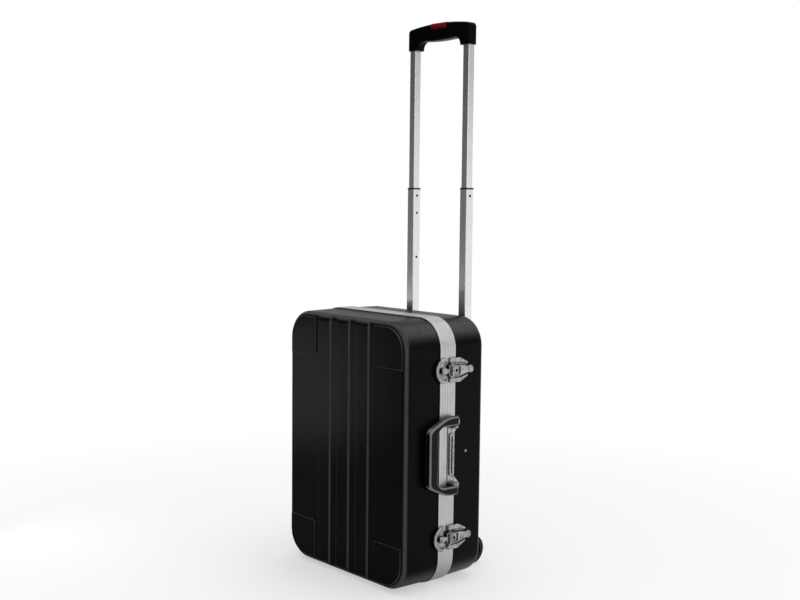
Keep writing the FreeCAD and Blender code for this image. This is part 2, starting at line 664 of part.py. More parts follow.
def latch_lever(z):
    """Lever: eye round the pivot, block with bars beside the lock, neck and round thumb tab."""
    start = LEVER_PIVOT[0] - LEVER_EYE_R
    side = [(LEVER_PIVOT[0], LEVER_LOW), (start, LEVER_PIVOT[1]), (start, LEVER_TOP, LEVER_NOSE_R),
            (LEVER_BLOCK, LEVER_TOP, 3.0), (LEVER_BLOCK, LEVER_LOW)]
    lever = latch_side(side, z - LEVER_HALF, z + LEVER_HALF)
    lever = lever.fuse(cross_pin(LEVER_EYE_R, LEVER_PIVOT, z, LEVER_HALF))
    low = LEVER_TOP - NECK_LOW
    root = LEVER_BLOCK - 2
    neck = [(root, -LEVER_HALF), (TAB_U, -NECK_HALF), (TAB_U, NECK_HALF), (root, LEVER_HALF)]
    lever = lever.fuse(latch_slab(neck, low, low + NECK_T, z))
    tab = latch_round(TAB_U, TAB_R, low, low + TAB_T, z)
    tab = tab.makeFillet(TAB_EDGE, edges_at(tab, "X", BAND_X + low + TAB_T))
    x, y = at_latch(TAB_U, low + TAB_T + DISH_R - DISH_DEPTH)
    lever = lever.fuse(tab).cut(Part.makeSphere(DISH_R, Vector(x, y, z)))
    inner = LOCK_BAR_U - LOCK_BAR_W / 2
    pocket = slab_rect(LOCK_U - inner, LOCK_U + inner, LOCK_BAR_HALF, 1.0)
    lever = lever.cut(latch_slab(pocket, LEVER_TOP - LOCK_POCKET, LEVER_TOP + 1, z))
    for s in (-1, 1):
        u = LOCK_U + s * LOCK_BAR_U
        bar = slab_rect(u - LOCK_BAR_W / 2, u + LOCK_BAR_W / 2, LOCK_BAR_HALF, 0.6)
        bar = latch_slab(bar, LEVER_TOP - LOCK_BAR_DEEP, LEVER_TOP + LOCK_BAR_H, z)
        lever = lever.fuse(bar.makeFillet(0.5, edges_at(bar, "X", BAND_X + LEVER_TOP + LOCK_BAR_H)))
    lever = lever.cut(cross_pin(LEVER_PIN_R + PIN_FIT, LEVER_PIVOT, z, LATCH_HALF))
    for s in (-1, 1):
        lever = lever.cut(link_pin(LINK_PIN_R + PIN_FIT, z, s, LINK_PIN_IN - PIN_FIT, LATCH_HALF))
    return lever.cut(latch_round(LOCK_U, LOCK_R + PIN_FIT, 0.0, LEVER_TOP + 5, z)).removeSplitter()


def latch_claw(z):
    """Square draw plate over the strike, a bridge and two arms back to its pin in the lever."""
    low = STRIKE_H + 0.5
    arm_in = LEVER_HALF + ARM_GAP
    arm_out = arm_in + ARM_T
    nose = latch_slab(slab_rect(CLAW_NOSE, CLAW_NECK, CLAW_HALF, 2.0), low, low + CLAW_T, z)
    nose = nose.makeFillet(0.7, edges_at(nose, "X", BAND_X + low + CLAW_T))
    tongue = slab_rect(CLAW_NECK - 1, -CLAW_BRIDGE / 2, CLAW_TONGUE_HALF, 0.0)
    claw = nose.fuse(latch_slab(tongue, low, low + ARM_T, z))
    claw = claw.fuse(latch_slab(slab_rect(-CLAW_BRIDGE, 0.0, arm_out, 0.0), low, low + ARM_T, z))
    arm_low = LEVER_PIVOT[1] + LEVER_PIN_R + ARM_GAP
    arm_top = arm_low + LINK_EYE_R
    side = [(-2.0, low), (-2.0, arm_top), (LINK_PIVOT[0], arm_top), (LINK_PIVOT[0], arm_low),
            (0.5, arm_low), (0.5, low)]
    for s in (-1, 1):
        claw = claw.fuse(latch_side(side, z + s * arm_in, z + s * arm_out))
        claw = claw.fuse(link_pin(LINK_EYE_R, z, s, arm_in, arm_out))
        claw = claw.fuse(link_pin(LINK_PIN_R, z, s, LINK_PIN_IN, arm_in + ARM_T / 2))
    return claw.removeSplitter()


def latch_lock(z):
    """Key cylinder in the lever, with its keyhole."""
    top = LEVER_TOP - LOCK_POCKET + 0.4
    plug = latch_round(LOCK_U, LOCK_R, LOCK_LOW, top, z)
    plug = plug.cut(latch_round(LOCK_U, KEYHOLE_R, top - KEY_DEPTH, top + 1, z))
    half = KEY_SLOT[0] / 2
    slot = [(LOCK_U - half, -KEY_SLOT[1] / 2), (LOCK_U + half, -KEY_SLOT[1] / 2),
            (LOCK_U + half, KEY_SLOT[1] / 2), (LOCK_U - half, KEY_SLOT[1] / 2)]
    return plug.cut(latch_slab(slot, top - KEY_DEPTH, top + 1, z))


def latch_strike(z):
    """Crescent strike on the lid with its foot, keeper block and two rivets."""
    nose_u = STRIKE_U - STRIKE_R + 1.5
    wide = STRIKE_R - 2.0
    base = latch_slab([(nose_u, -9, 6), (STRIKE_END, -wide, 3), (-1.0, -wide, 3), (-1.0, wide, 3),
                       (STRIKE_END, wide, 3), (nose_u, 9, 6)], 0.0, STRIKE_BASE_T, z)
    ring = latch_round(STRIKE_U, STRIKE_R, 0.0, STRIKE_H, z)
    ring = ring.makeFillet(STRIKE_EDGE, edges_at(ring, "X", BAND_X + STRIKE_H))
    ring = ring.cut(latch_round(STRIKE_U, STRIKE_R - STRIKE_RING, -1, STRIKE_H + 1, z))
    ring = ring.cut(latch_slab(slab_rect(STRIKE_END, STRIKE_R, STRIKE_R + 1, 0.0), -1, STRIKE_H + 1, z))
    step = BAND_W + FRAME_FIT
    shoe = latch_round(STRIKE_U, STRIKE_R - 0.8, -BAND_PROUD + FRAME_FIT, 0.0, z)
    shoe = shoe.common(latch_slab(slab_rect(-2 * STRIKE_R, -step, STRIKE_R, 0.0), -BAND_PROUD, 1.0, z))
    keeper = latch_slab(slab_rect(KEEPER_U[0], KEEPER_U[1], KEEPER_HALF, 1.5), 0.0, STRIKE_H + 0.2, z)
    strike = base.fuse(ring).fuse(shoe).fuse(keeper)
    for s in (-1, 1):
        x, y = at_latch(-4.5, STRIKE_BASE_T - 0.4)
        place = Vector(x, y, z + s * (wide - 5.0))
        strike = strike.fuse(Part.makeCone(2.8, 1.6, 1.8, place, Vector(1, 0, 0)))
    return strike.removeSplitter()


for name, z in (("lower", LATCH_Z[0]), ("upper", LATCH_Z[1])):
    save("latch_%s_plate" % name, latch_plate(z))
    save("latch_%s_lever" % name, latch_lever(z))
    save("latch_%s_claw" % name, latch_claw(z))
    save("latch_%s_lock" % name, latch_lock(z))
    save("latch_%s_strike" % name, latch_strike(z))


# ---------------------------------------------------------------- carry handle

def handle_pin(radius, z0, z1):
    """Round bar on the handle's axis, between two heights from the handle's middle."""
    return rod(radius, (HANDLE_X, HANDLE_Y, HANDLE_Z + z0), (HANDLE_X, HANDLE_Y, HANDLE_Z + z1))


def carry_handle():
    """D-shaped moulded grip, folded flat towards the front."""
    near = HANDLE_Y + HANDLE_HUB_R
    far = HANDLE_Y - HANDLE_REACH
    shoulder = HANDLE_Y - HANDLE_SHOULDER
    half = HANDLE_HALF
    bar_half = HANDLE_HALF - HANDLE_TAPER
    z = HANDLE_Z
    shape = [(near, z - half, 7.0), (near, z + half, 7.0), (shoulder, z + half, HANDLE_SHOULDER_R),
             (far, z + bar_half, HANDLE_CORNER_R), (far, z - bar_half, HANDLE_CORNER_R),
             (shoulder, z - half, HANDLE_SHOULDER_R)]
    outer = prism_x(shape, HANDLE_X - HANDLE_T / 2, HANDLE_X + HANDLE_T / 2)
    bar_in = far + HANDLE_BAR
    past = near + 10.0
    gap = prism_x([(past, z - LEG_IN), (past, z + LEG_IN), (bar_in, z + LEG_IN, HANDLE_CORNER_R),
                   (bar_in + HANDLE_SWELL, z, HANDLE_SWELL_R), (bar_in, z - LEG_IN, HANDLE_CORNER_R)],
                  HANDLE_X - HANDLE_T, HANDLE_X + HANDLE_T)
    grip = outer.cut(gap)
    long_edges = [e for e in grip.Edges if e.BoundBox.XLength < 1e-4 and e.BoundBox.YMin < near - 0.5]
    grip = grip.makeFillet(HANDLE_EDGE, long_edges)
    legs_and_bar = box(0, HANDLE_X + HANDLE_T, far - 1, HANDLE_Y, 0, CASE_H)
    grip = grip.common(legs_and_bar.fuse(handle_pin(HANDLE_HUB_R - 0.2, 1 - half, half - 1)))
    hole = half - HANDLE_PIN_SKIN
    return grip.cut(handle_pin(HANDLE_PIN_R + PIN_FIT, -hole, hole))


def plate_ear(s):
    """Upright ear inside one leg of the handle, and the pin that the leg turns on."""
    z0, z1 = sorted((HANDLE_Z + s * (LEG_IN - EAR_GAP), HANDLE_Z + s * (LEG_IN - EAR_GAP - EAR_T)))
    side = [(BAND_X, SEAM_Y + 2.5), (HANDLE_X, HANDLE_Y - 6.5, 3.0), (HANDLE_X + 6.0, HANDLE_Y - 4.0, 3.5),
            (HANDLE_X + 6.0, HANDLE_Y + 4.0, 3.5), (HANDLE_X, HANDLE_Y + 6.5, 3.0),
            (BAND_X, SEAM_Y + BAND_W - 1.0)]
    inner_end = LEG_IN - EAR_GAP - EAR_T
    return prism_z(side, z0, z1).fuse(handle_pin(HANDLE_PIN_R, s * inner_end, s * (HANDLE_HALF - 5.0)))


def handle_plate():
    """Long plate on the base frame with flared ends, a raised slotted rail and two ears."""
    half = HANDLE_HALF - HANDLE_PLATE_IN
    flare = BAND_W + PLATE_FLARE
    waist = BAND_W - 1.5
    start = LATCH_START
    shape = [(start, -half, 3), (flare - 5, -half, 5), (flare, -half + 12, 6), (waist, -LEG_IN + 14, 8),
             (waist, LEG_IN - 14, 8), (flare, half - 12, 6), (flare - 5, half, 5), (start, half, 3)]
    plate = latch_slab(shape, 0.0, HANDLE_PLATE_T, HANDLE_Z)
    step = BAND_W + FRAME_FIT
    for s in (-1, 1):
        z0, z1 = sorted((s * (LEG_IN + 2), s * (half - 4)))
        shoe = [(step, z0), (flare - 5, z0), (flare - 5, z1), (step, z1)]
        plate = plate.fuse(latch_slab(shoe, -BAND_PROUD + FRAME_FIT, 0.0, HANDLE_Z)).fuse(plate_ear(s))
    rail_half = LEG_IN - RAIL_IN
    top = HANDLE_PLATE_T + RAIL_H
    rail = latch_slab(slab_rect(RAIL_U, BAND_W - RAIL_U, rail_half, 3.0), 0.0, top, HANDLE_Z)
    slot = slab_rect(SLOT_U, BAND_W - SLOT_U, rail_half - 4, 1.5)
    slot = latch_slab(slot, HANDLE_PLATE_T, top + 1, HANDLE_Z)
    return plate.fuse(rail.cut(slot)).removeSplitter()


def strap_rivet():
    """Rivet in the base shell that holds the laptop strap's end."""
    run = (STRAP_RIVET_U - BAND_W) / (BASE_DEPTH - RELIEF - BAND_W)
    x = CASE_W / 2 - DRAFT * run + FRAME_FIT
    return Part.makeCone(3.0, 1.8, 1.6, Vector(x, SEAM_Y + STRAP_RIVET_U, MID_Z), Vector(1, 0, 0))


save("carry_handle", carry_handle())
save("handle_plate", handle_plate())
save("strap_rivet", strap_rivet())


# ---------------------------------------------------------------- trolley tubes

def tube_solid(x, size, corner, z0, z1):
    """Square bar with rounded corners, standing at x in the trolley's plane."""
    half = size / 2
    return prism_z([(x - half, TROLLEY_Y - half, corner), (x + half, TROLLEY_Y - half, corner),
                    (x + half, TROLLEY_Y + half, corner), (x - half, TROLLEY_Y + half, corner)], z0, z1)


def square_tube(x, size, wall, z0, z1):
    """Square tube with rounded corners."""
    hollow = tube_solid(x, size - 2 * wall, max(TUBE_CORNER - wall, 0.8), z0 - 1, z1 + 1)
    return tube_solid(x, size, TUBE_CORNER, z0, z1).cut(hollow)


def middle_tube(x, drops):
    """Middle stage with a row of lock holes in its right-hand face."""
    tube = square_tube(x, MID_SQ, MID_WALL, MID_BOTTOM, MID_TOP)
    face_x = x + MID_SQ / 2
    for drop in drops:
        z = MID_TOP - drop
        tube = tube.cut(rod(LOCK_HOLE_R, (face_x - MID_WALL - 1, TROLLEY_Y, z), (face_x + 1, TROLLEY_Y, z)))
    return tube


def collar(x):
    """Plastic ring on the top of a middle tube."""
    size = MID_SQ + 2 * COLLAR_OVER
    return square_tube(x, size, MID_WALL + COLLAR_OVER, MID_TOP, MID_TOP + COLLAR_T)


def stud(x):
    """Spring stud that fills the top lock hole."""
    face_x = x + MID_SQ / 2
    z = MID_TOP - LOCK_HOLE_DROPS[0]
    return rod(LOCK_HOLE_R - PIN_FIT, (face_x - MID_WALL, TROLLEY_Y, z), (face_x + STUD_PROUD, TROLLEY_Y, z))


for hand, x, drops in (("left", -TUBE_X, LOCK_HOLE_DROPS), ("right", TUBE_X, LOCK_HOLE_DROPS[:1])):
    save("trolley_outer_%s" % hand, square_tube(x, OUTER_SQ, OUTER_WALL, OUTER_BOTTOM, OUTER_TOP))
    save("trolley_middle_%s" % hand, middle_tube(x, drops))
    save("trolley_collar_%s" % hand, collar(x))
    save("trolley_stud_%s" % hand, stud(x))
    save("trolley_inner_%s" % hand, square_tube(x, INNER_SQ, INNER_WALL, INNER_BOTTOM, INNER_TOP))


# ---------------------------------------------------------------- trolley grip and its release

def arched(half, z, rise, end_reach):
    """Apex point and radius of one smooth arc between two corners at +-half and height z."""
    slope = math.atan(2 * rise / half)
    return (0.0, z + 2 * rise, (half - end_reach) / math.tan(abs(slope)) * 0.98)


def grip_block():
    """Solid arch: crowned top, two legs, and a finger side that bulges down."""
    inner = GRIP_HALF - GRIP_LEG_W
    top = arched(GRIP_HALF, GRIP_END_Z, GRIP_CROWN, GRIP_TOP_R)
    under = arched(inner, GRIP_UNDER_Z, -GRIP_BELLY, GRIP_INNER_R * 1.15)
    return prism_y([(-GRIP_HALF, GRIP_LEG_Z), (-GRIP_HALF, GRIP_END_Z, GRIP_TOP_R), top,
                    (GRIP_HALF, GRIP_END_Z, GRIP_TOP_R), (GRIP_HALF, GRIP_LEG_Z), (inner, GRIP_LEG_Z),
                    (inner, GRIP_UNDER_Z, GRIP_INNER_R), under, (-inner, GRIP_UNDER_Z, GRIP_INNER_R),
                    (-inner, GRIP_LEG_Z)],
                   TROLLEY_Y - GRIP_DEPTH / 2, TROLLEY_Y + GRIP_DEPTH / 2)


def button_room(drop):
    """Space for the button, from its lowest place up: the full-depth cap and the stem below it."""
    half = BUTTON_HALF + BUTTON_GAP
    cap = box(-half, half, TROLLEY_Y - GRIP_DEPTH, TROLLEY_Y + GRIP_DEPTH, BUTTON_LOW - drop, BUTTON_TOP + 1)
    stem = BUTTON_STEM / 2 + BUTTON_GAP
    return cap.fuse(box(-half, half, TROLLEY_Y - stem, TROLLEY_Y + stem, YOKE_Z + YOKE_T - drop, BUTTON_LOW))


def grip():
    """The moulded handle with its tube sockets, rod holes and the button's room."""
    body = grip_block()
    rims = [e for e in body.Edges if e.BoundBox.YLength < 1e-4 and e.BoundBox.ZMax > GRIP_LEG_Z + 0.5]
    body = body.makeFillet(GRIP_EDGE, rims)
    for s in (-1, 1):
        x = s * TUBE_X
        body = body.cut(tube_solid(x, INNER_SQ + 2 * SOCKET_FIT, TUBE_CORNER, GRIP_LEG_Z - 1, INNER_TOP))
        body = body.cut(rod(ROD_R + ROD_GAP, (x, TROLLEY_Y, GRIP_LEG_Z), (x, TROLLEY_Y, YOKE_Z)))
    drop = BUTTON_TRAVEL + BUTTON_FLOOR
    thick = YOKE_T / 2 + ROD_GAP
    body = body.cut(box(-YOKE_X - 1, YOKE_X + 1, TROLLEY_Y - thick, TROLLEY_Y + thick,
                        YOKE_Z - drop, YOKE_Z + YOKE_T + BUTTON_GAP))
    return body.cut(button_room(drop))


def button():
    """Saddle-shaped release button: cap over the grip's top and faces, with a stem on the yoke."""
    y0 = TROLLEY_Y - GRIP_DEPTH / 2
    y1 = TROLLEY_Y + GRIP_DEPTH / 2
    cap = prism_y([(-BUTTON_HALF, BUTTON_LOW), (-BUTTON_HALF, BUTTON_TOP, BUTTON_R),
                   (BUTTON_HALF, BUTTON_TOP, BUTTON_R), (BUTTON_HALF, BUTTON_LOW)], y0, y1)
    rims = [e for e in cap.Edges if e.BoundBox.YLength < 1e-4 and e.BoundBox.ZMax > BUTTON_LOW + 0.5]
    cap = cap.makeFillet(GRIP_EDGE, rims)
    stem = BUTTON_STEM / 2
    top = BUTTON_LOW + 1
    return cap.fuse(box(-BUTTON_HALF, BUTTON_HALF, TROLLEY_Y - stem, TROLLEY_Y + stem, YOKE_Z + YOKE_T, top))


def yoke():
    """Cross bar under the button with a push rod down each inner tube."""
    thick = YOKE_T / 2
    bar = box(-YOKE_X, YOKE_X, TROLLEY_Y - thick, TROLLEY_Y + thick, YOKE_Z, YOKE_Z + YOKE_T)
    low = INNER_BOTTOM + BUTTON_TRAVEL + 1
    for x in (-TUBE_X, TUBE_X):
        bar = bar.fuse(rod(ROD_R, (x, TROLLEY_Y, low), (x, TROLLEY_Y, YOKE_Z + 1)))
    return bar


save("trolley_grip", grip())
save("release_button", button().removeSplitter())
save("release_yoke", yoke())


# ---------------------------------------------------------------- brackets, axle and wheels

SCREW_Z = BRACKET_TOP - BRACKET_H / 2
SCREW_X = TUBE_X - OUTER_SQ / 2 - SCREW_OFF
LOW_SCREW_Z = HOUSING_TOP - LOW_SCREW_DROP
HOUSING_IN = HOUSING_OUT - HOUSING_W
LOW_SCREW_X = HOUSING_IN - LOW_SCREW_OFF


def tube_hole(x, z0, z1):
    """Seat for an outer tube."""
    return tube_solid(x, OUTER_SQ + 2 * CLAMP_GAP, TUBE_CORNER, z0, z1)


def screw_hole(x, z):
    return rod(SCREW_R + SCREW_FIT, (x, SKIN_Y - 1, z), (x, SKIN_Y + BRACKET_T + SCREW_HEAD_H, z))


def top_bracket():
    """Cross plate on the case's back with a clamp block round each outer tube."""
    z0 = BRACKET_TOP - BRACKET_H
    out = TUBE_X + OUTER_SQ / 2 + BRACKET_WALL
    arm_in = TUBE_X - OUTER_SQ / 2 - BRACKET_WALL
    y_far = TROLLEY_Y + OUTER_SQ / 2 + BRACKET_WALL
    body = box(-out, out, SKIN_Y, SKIN_Y + BRACKET_T, z0, BRACKET_TOP)
    for s in (-1, 1):
        x0, x1 = sorted((s * arm_in, s * out))
        block = prism_z([(x0, SKIN_Y), (x1, SKIN_Y), (x1, y_far, 6.0), (x0, y_far, 6.0)], z0, BRACKET_TOP)
        body = body.fuse(block).cut(tube_hole(s * TUBE_X, z0 - 1, BRACKET_TOP + 1))
        body = body.cut(screw_hole(s * SCREW_X, SCREW_Z))
    return body.removeSplitter()


def wheel_housing():
    """Bottom bracket: two boxes round the tube ends, a cross plate and the axle's bore."""
    plate_low = HOUSING_TOP - HOUSING_PLATE_H
    body = box(-HOUSING_OUT, HOUSING_OUT, SKIN_Y, SKIN_Y + BRACKET_T, plate_low, HOUSING_TOP)
    side = [(SKIN_Y, 10.0, 4.0), (WHEEL_Y + 12.0, WHEEL_Z - 13.0, 12.0),
            (TROLLEY_Y + OUTER_SQ / 2 + 4.0, HOUSING_TOP, 8.0), (SKIN_Y, HOUSING_TOP)]
    for s in (-1, 1):
        x0, x1 = sorted((s * HOUSING_IN, s * HOUSING_OUT))
        body = body.fuse(prism_x(side, x0, x1))
        body = body.cut(tube_hole(s * TUBE_X, OUTER_BOTTOM, HOUSING_TOP + 1))
        body = body.cut(screw_hole(s * LOW_SCREW_X, LOW_SCREW_Z))
    return body.cut(axle_rod(AXLE_R + PIN_FIT, HOUSING_OUT + 1)).removeSplitter()


def axle_rod(radius, half):
    """Round bar along the wheels' axis."""
    return rod(radius, (-half, WHEEL_Y, WHEEL_Z), (half, WHEEL_Y, WHEEL_Z))


def axle():
    """Steel axle with a flat head outside each wheel."""
    end = WHEEL_OUT + AXLE_PLAY
    heads = axle_rod(AXLE_HEAD_R, end + AXLE_HEAD_T).cut(axle_rod(AXLE_HEAD_R + 1, end))
    return axle_rod(AXLE_R, end + AXLE_HEAD_T).fuse(heads)


def wheel_rod(radius, s, a, b, y=WHEEL_Y, z=WHEEL_Z):
    """Round bar on one side of the case, between two distances from its middle plane."""
    return rod(radius, (s * a, y, z), (s * b, y, z))


def tyre(s):
    """Rubber ring with rounded shoulders."""
    ring = wheel_rod(WHEEL_R, s, WHEEL_IN, WHEEL_OUT)
    ring = ring.makeFillet(TYRE_EDGE, [e for e in ring.Edges if e.BoundBox.XLength < 1e-4])
    return ring.cut(wheel_rod(WHEEL_R - TYRE_T, s, WHEEL_IN - 1, WHEEL_OUT + 1))


def hub(s):
    """Plastic hub with a dished outer face, a boss and a ring of holes."""
    seat = WHEEL_R - TYRE_T
    boss = AXLE_R + HUB_BOSS
    body = wheel_rod(seat, s, WHEEL_IN, WHEEL_OUT)
    dish = wheel_rod(seat - HUB_RIM, s, WHEEL_OUT - HUB_DISH, WHEEL_OUT + 1)
    body = body.cut(dish.cut(wheel_rod(boss, s, WHEEL_OUT - HUB_DISH - 1, WHEEL_OUT + 2)))
    reach = (seat - HUB_RIM + boss) / 2
    for k in range(HUB_HOLES):
        a = 2 * math.pi * k / HUB_HOLES
        y = WHEEL_Y + reach * math.cos(a)
        z = WHEEL_Z + reach * math.sin(a)
        body = body.cut(wheel_rod(HUB_HOLE_R, s, WHEEL_OUT - HUB_HOLE_DEPTH, WHEEL_OUT, y, z))
    return body.cut(wheel_rod(AXLE_R + PIN_FIT, s, WHEEL_IN - 1, WHEEL_OUT + 1))


def bracket_screw(x, z):
    """Cross-head screw through a bracket's plate."""
    head_y = SKIN_Y + BRACKET_T
    screw = rod(SCREW_R, (x, SKIN_Y + SCREW_FIT, z), (x, head_y, z))
    head = Part.makeCone(SCREW_HEAD_R, SCREW_HEAD_R - 2, SCREW_HEAD_H, Vector(x, head_y, z), Vector(0, 1, 0))
    y0 = head_y + SCREW_HEAD_H / 2
    y1 = head_y + SCREW_HEAD_H + 1
    for a, b in ((0.5, 2.4), (2.4, 0.5)):
        head = head.cut(box(x - a, x + a, y0, y1, z - b, z + b))
    return screw.fuse(head)


save("top_bracket", top_bracket())
save("wheel_housing", wheel_housing())
save("axle", axle())
for hand, s in (("left", -1), ("right", 1)):
    save("wheel_%s_tyre" % hand, tyre(s))
    save("wheel_%s_hub" % hand, hub(s))
    save("bracket_screw_upper_%s" % hand, bracket_screw(s * SCREW_X, SCREW_Z))
    save("bracket_screw_lower_%s" % hand, bracket_screw(s * LOW_SCREW_X, LOW_SCREW_Z))


# ---------------------------------------------------------------- inside

LINING_IN = WALL + LINING_GAP + INNER_T
BACK_LINING = BASE_DEPTH - RELIEF - WALL - LINING_GAP / 2
LID_LINING = LID_DEPTH - RELIEF - WALL - LINING_GAP / 2
WELL_LOW = WALL + LINING_GAP + FOAM_SIDE
FOAM_Y0 = SEAM_Y + WALL_MID_U + FOAM_FRONT
WELL_FLOOR_Y = SEAM_Y + BACK_LINING - FOAM_BACK
LID_PAD_FACE = SEAM_Y - LID_LINING + LID_PAD_T


def block_y(x0, x1, z0, z1, radius, y0, y1):
    """Block with its four edges along Y rounded."""
    return prism_y([(x0, z0, radius), (x1, z0, radius), (x1, z1, radius), (x0, z1, radius)], y0, y1)


def well_block(shrink, y0, y1, radius):
    """Rounded block that fills the laptop well, less a margin all round."""
    half = CASE_W / 2 - WELL_LOW - shrink
    low = WELL_LOW + shrink
    high = CASE_H - WELL_LOW - shrink
    return block_y(-half, half, low, high, radius, y0, y1)


def foam_tray():
    """Foam that fills the base, with the laptop well cut into it."""
    block = case_half(1, WALL_MID_U, BACK_LINING, LINING_IN, EDGE_R - WALL)
    block = block.cut(box(-CASE_W, CASE_W, 0, FOAM_Y0, -CASE_H, 2 * CASE_H))
    return block.cut(well_block(0.0, 0, WELL_FLOOR_Y, WELL_R))


def laptop_cushion():
    """Cushion on the floor of the well."""
    top = WELL_FLOOR_Y - SOFT_GAP
    return well_block(CUSHION_GAP, top - CUSHION_T, top, WELL_R)


def lid_pad():
    """Padding against the lid's inner face."""
    pad = case_half(-1, LID_RIM_U, LID_LINING, LINING_IN, EDGE_R - WALL)
    return pad.cut(box(-CASE_W, CASE_W, LID_PAD_FACE, 2 * CASE_D, -CASE_H, 2 * CASE_H))


def lid_pocket():
    """Flat pocket for papers on the lid's padding."""
    half = POCKET_W / 2
    low = POCKET_LOW
    high = POCKET_LOW + POCKET_H
    y0 = LID_PAD_FACE + SOFT_GAP
    return block_y(-half, half, low, high, POCKET_R, y0, y0 + POCKET_T)


def laptop_strap():
    """Webbing strap across the well, its ends on the foam's rim."""
    half = CASE_W / 2 - WELL_LOW + STRAP_HOLD
    y0 = FOAM_Y0 - SOFT_GAP - STRAP_T
    return box(-half, half, y0, y0 + STRAP_T, MID_Z - STRAP_W / 2, MID_Z + STRAP_W / 2)


save("foam_tray", foam_tray())
save("laptop_cushion", laptop_cushion())
save("lid_pad", lid_pad())
save("lid_pocket", lid_pocket())
save("laptop_strap", laptop_strap())
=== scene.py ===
"""Rolling laptop case: ribbed ABS half shells in an aluminium frame, latches and carry handle on
one side, and a two-stage trolley bolted to the back.  Metres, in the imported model's own frame."""
import bpy
import math
from mathutils import Matrix, Vector


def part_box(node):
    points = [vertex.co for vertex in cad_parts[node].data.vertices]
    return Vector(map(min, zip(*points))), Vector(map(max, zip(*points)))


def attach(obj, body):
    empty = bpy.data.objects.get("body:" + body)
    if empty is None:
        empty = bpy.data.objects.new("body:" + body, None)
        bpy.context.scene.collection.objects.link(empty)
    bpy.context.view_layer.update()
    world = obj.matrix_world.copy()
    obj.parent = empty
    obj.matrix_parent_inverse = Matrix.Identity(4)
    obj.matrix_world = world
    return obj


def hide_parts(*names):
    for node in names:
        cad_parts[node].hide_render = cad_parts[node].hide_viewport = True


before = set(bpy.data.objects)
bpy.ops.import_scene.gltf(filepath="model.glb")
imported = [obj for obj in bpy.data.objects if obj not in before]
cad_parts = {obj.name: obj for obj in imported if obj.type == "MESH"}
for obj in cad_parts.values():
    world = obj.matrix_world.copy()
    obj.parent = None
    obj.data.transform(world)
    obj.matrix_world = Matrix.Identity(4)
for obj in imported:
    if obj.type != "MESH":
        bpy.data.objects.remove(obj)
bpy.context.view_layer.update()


# ---- Half shells
# Two vacuum-formed ABS trays, black through and through, with a fine grained satin skin. Their
# rims sit in the aluminium frame. The skin shows only wide faint light, and the rounded edges
# carry a painted highlight, grey mixed into their colour in broken streaks.

def linear(code):
    """sRGB hex code to the linear colour that a shader takes."""
    steps = [int(code[i:i + 2], 16) / 255 for i in (1, 3, 5)]
    return tuple(s / 12.92 if s <= 0.04045 else ((s + 0.055) / 1.055) ** 2.4 for s in steps) + (1.0,)


def add(tree, kind, inputs=None, **settings):
    """Adds one shader node; an input is a value, or the socket that feeds it."""
    made = tree.nodes.new("ShaderNode" + kind)
    for name, value in settings.items():
        setattr(made, name, value)
    for key, value in (inputs or {}).items():
        if isinstance(value, bpy.types.NodeSocket):
            tree.links.new(value, made.inputs[key])
        else:
            made.inputs[key].default_value = value
    return made


def new_material(name):
    """An empty material with its output node, and where the object's own metres come from."""
    material = bpy.data.materials.new(name)
    material.use_nodes = True
    tree = material.node_tree
    tree.nodes.clear()
    place = add(tree, "TexCoord").outputs["Object"]
    return material, tree, place


def finish_surface(tree, inputs):
    """Principled surface into the material's output."""
    surface = add(tree, "BsdfPrincipled", inputs)
    add(tree, "OutputMaterial", {"Surface": surface.outputs["BSDF"]})


def ramp(tree, source, stops):
    """Colour ramp with (place, hex code) stops."""
    made = add(tree, "ValToRGB", {"Fac": source})
    band = made.color_ramp.elements
    while len(band) < len(stops):
        band.new(0.5)
    for element, (place, code) in zip(band, stops):
        element.position = place
        element.color = linear(code)
    return made.outputs["Color"]


def span(tree, source, low, high):
    """A 0 to 1 value stretched to a range."""
    return add(tree, "MapRange", {"Value": source, "To Min": low, "To Max": high}).outputs["Result"]


def painted_edge_highlight(tree, place, tone, highlight_tone):
    """Paints a highlight into the colour of the rounded edges, where the surface turns from one side to the
    next, in broken streaks.
    """
    flat = 0.985        # largest part of the normal where the surface still counts as flat
    turned = 0.78       # the same where an edge has its full grey
    streaks_per_m = 60.0
    turn = add(tree, "VectorMath", {0: add(tree, "TexCoord").outputs["Normal"]}, operation="ABSOLUTE")
    parts = add(tree, "SeparateXYZ", {"Vector": turn.outputs["Vector"]}).outputs
    most = add(tree, "Math", {0: parts["X"], 1: parts["Y"]}, operation="MAXIMUM").outputs["Value"]
    most = add(tree, "Math", {0: most, 1: parts["Z"]}, operation="MAXIMUM").outputs["Value"]
    edge = add(tree, "MapRange", {"Value": most, "From Min": flat, "From Max": turned},
               interpolation_type="SMOOTHSTEP")
    streak = add(tree, "TexNoise", {"Vector": place, "Scale": streaks_per_m, "Detail": 4.0, "Roughness": 0.6})
    patch = span(tree, streak.outputs["Fac"], 0.6, 1.1)
    amount = add(tree, "Math", {0: edge.outputs["Result"], 1: patch}, operation="MULTIPLY", use_clamp=True)
    # painted highlight: the grey tone is mixed into the colour where the surface turns at an edge
    mixed = add(tree, "Mix", {0: amount.outputs["Value"], 6: tone, 7: linear(highlight_tone)}, data_type="RGBA")
    return mixed.outputs[2]


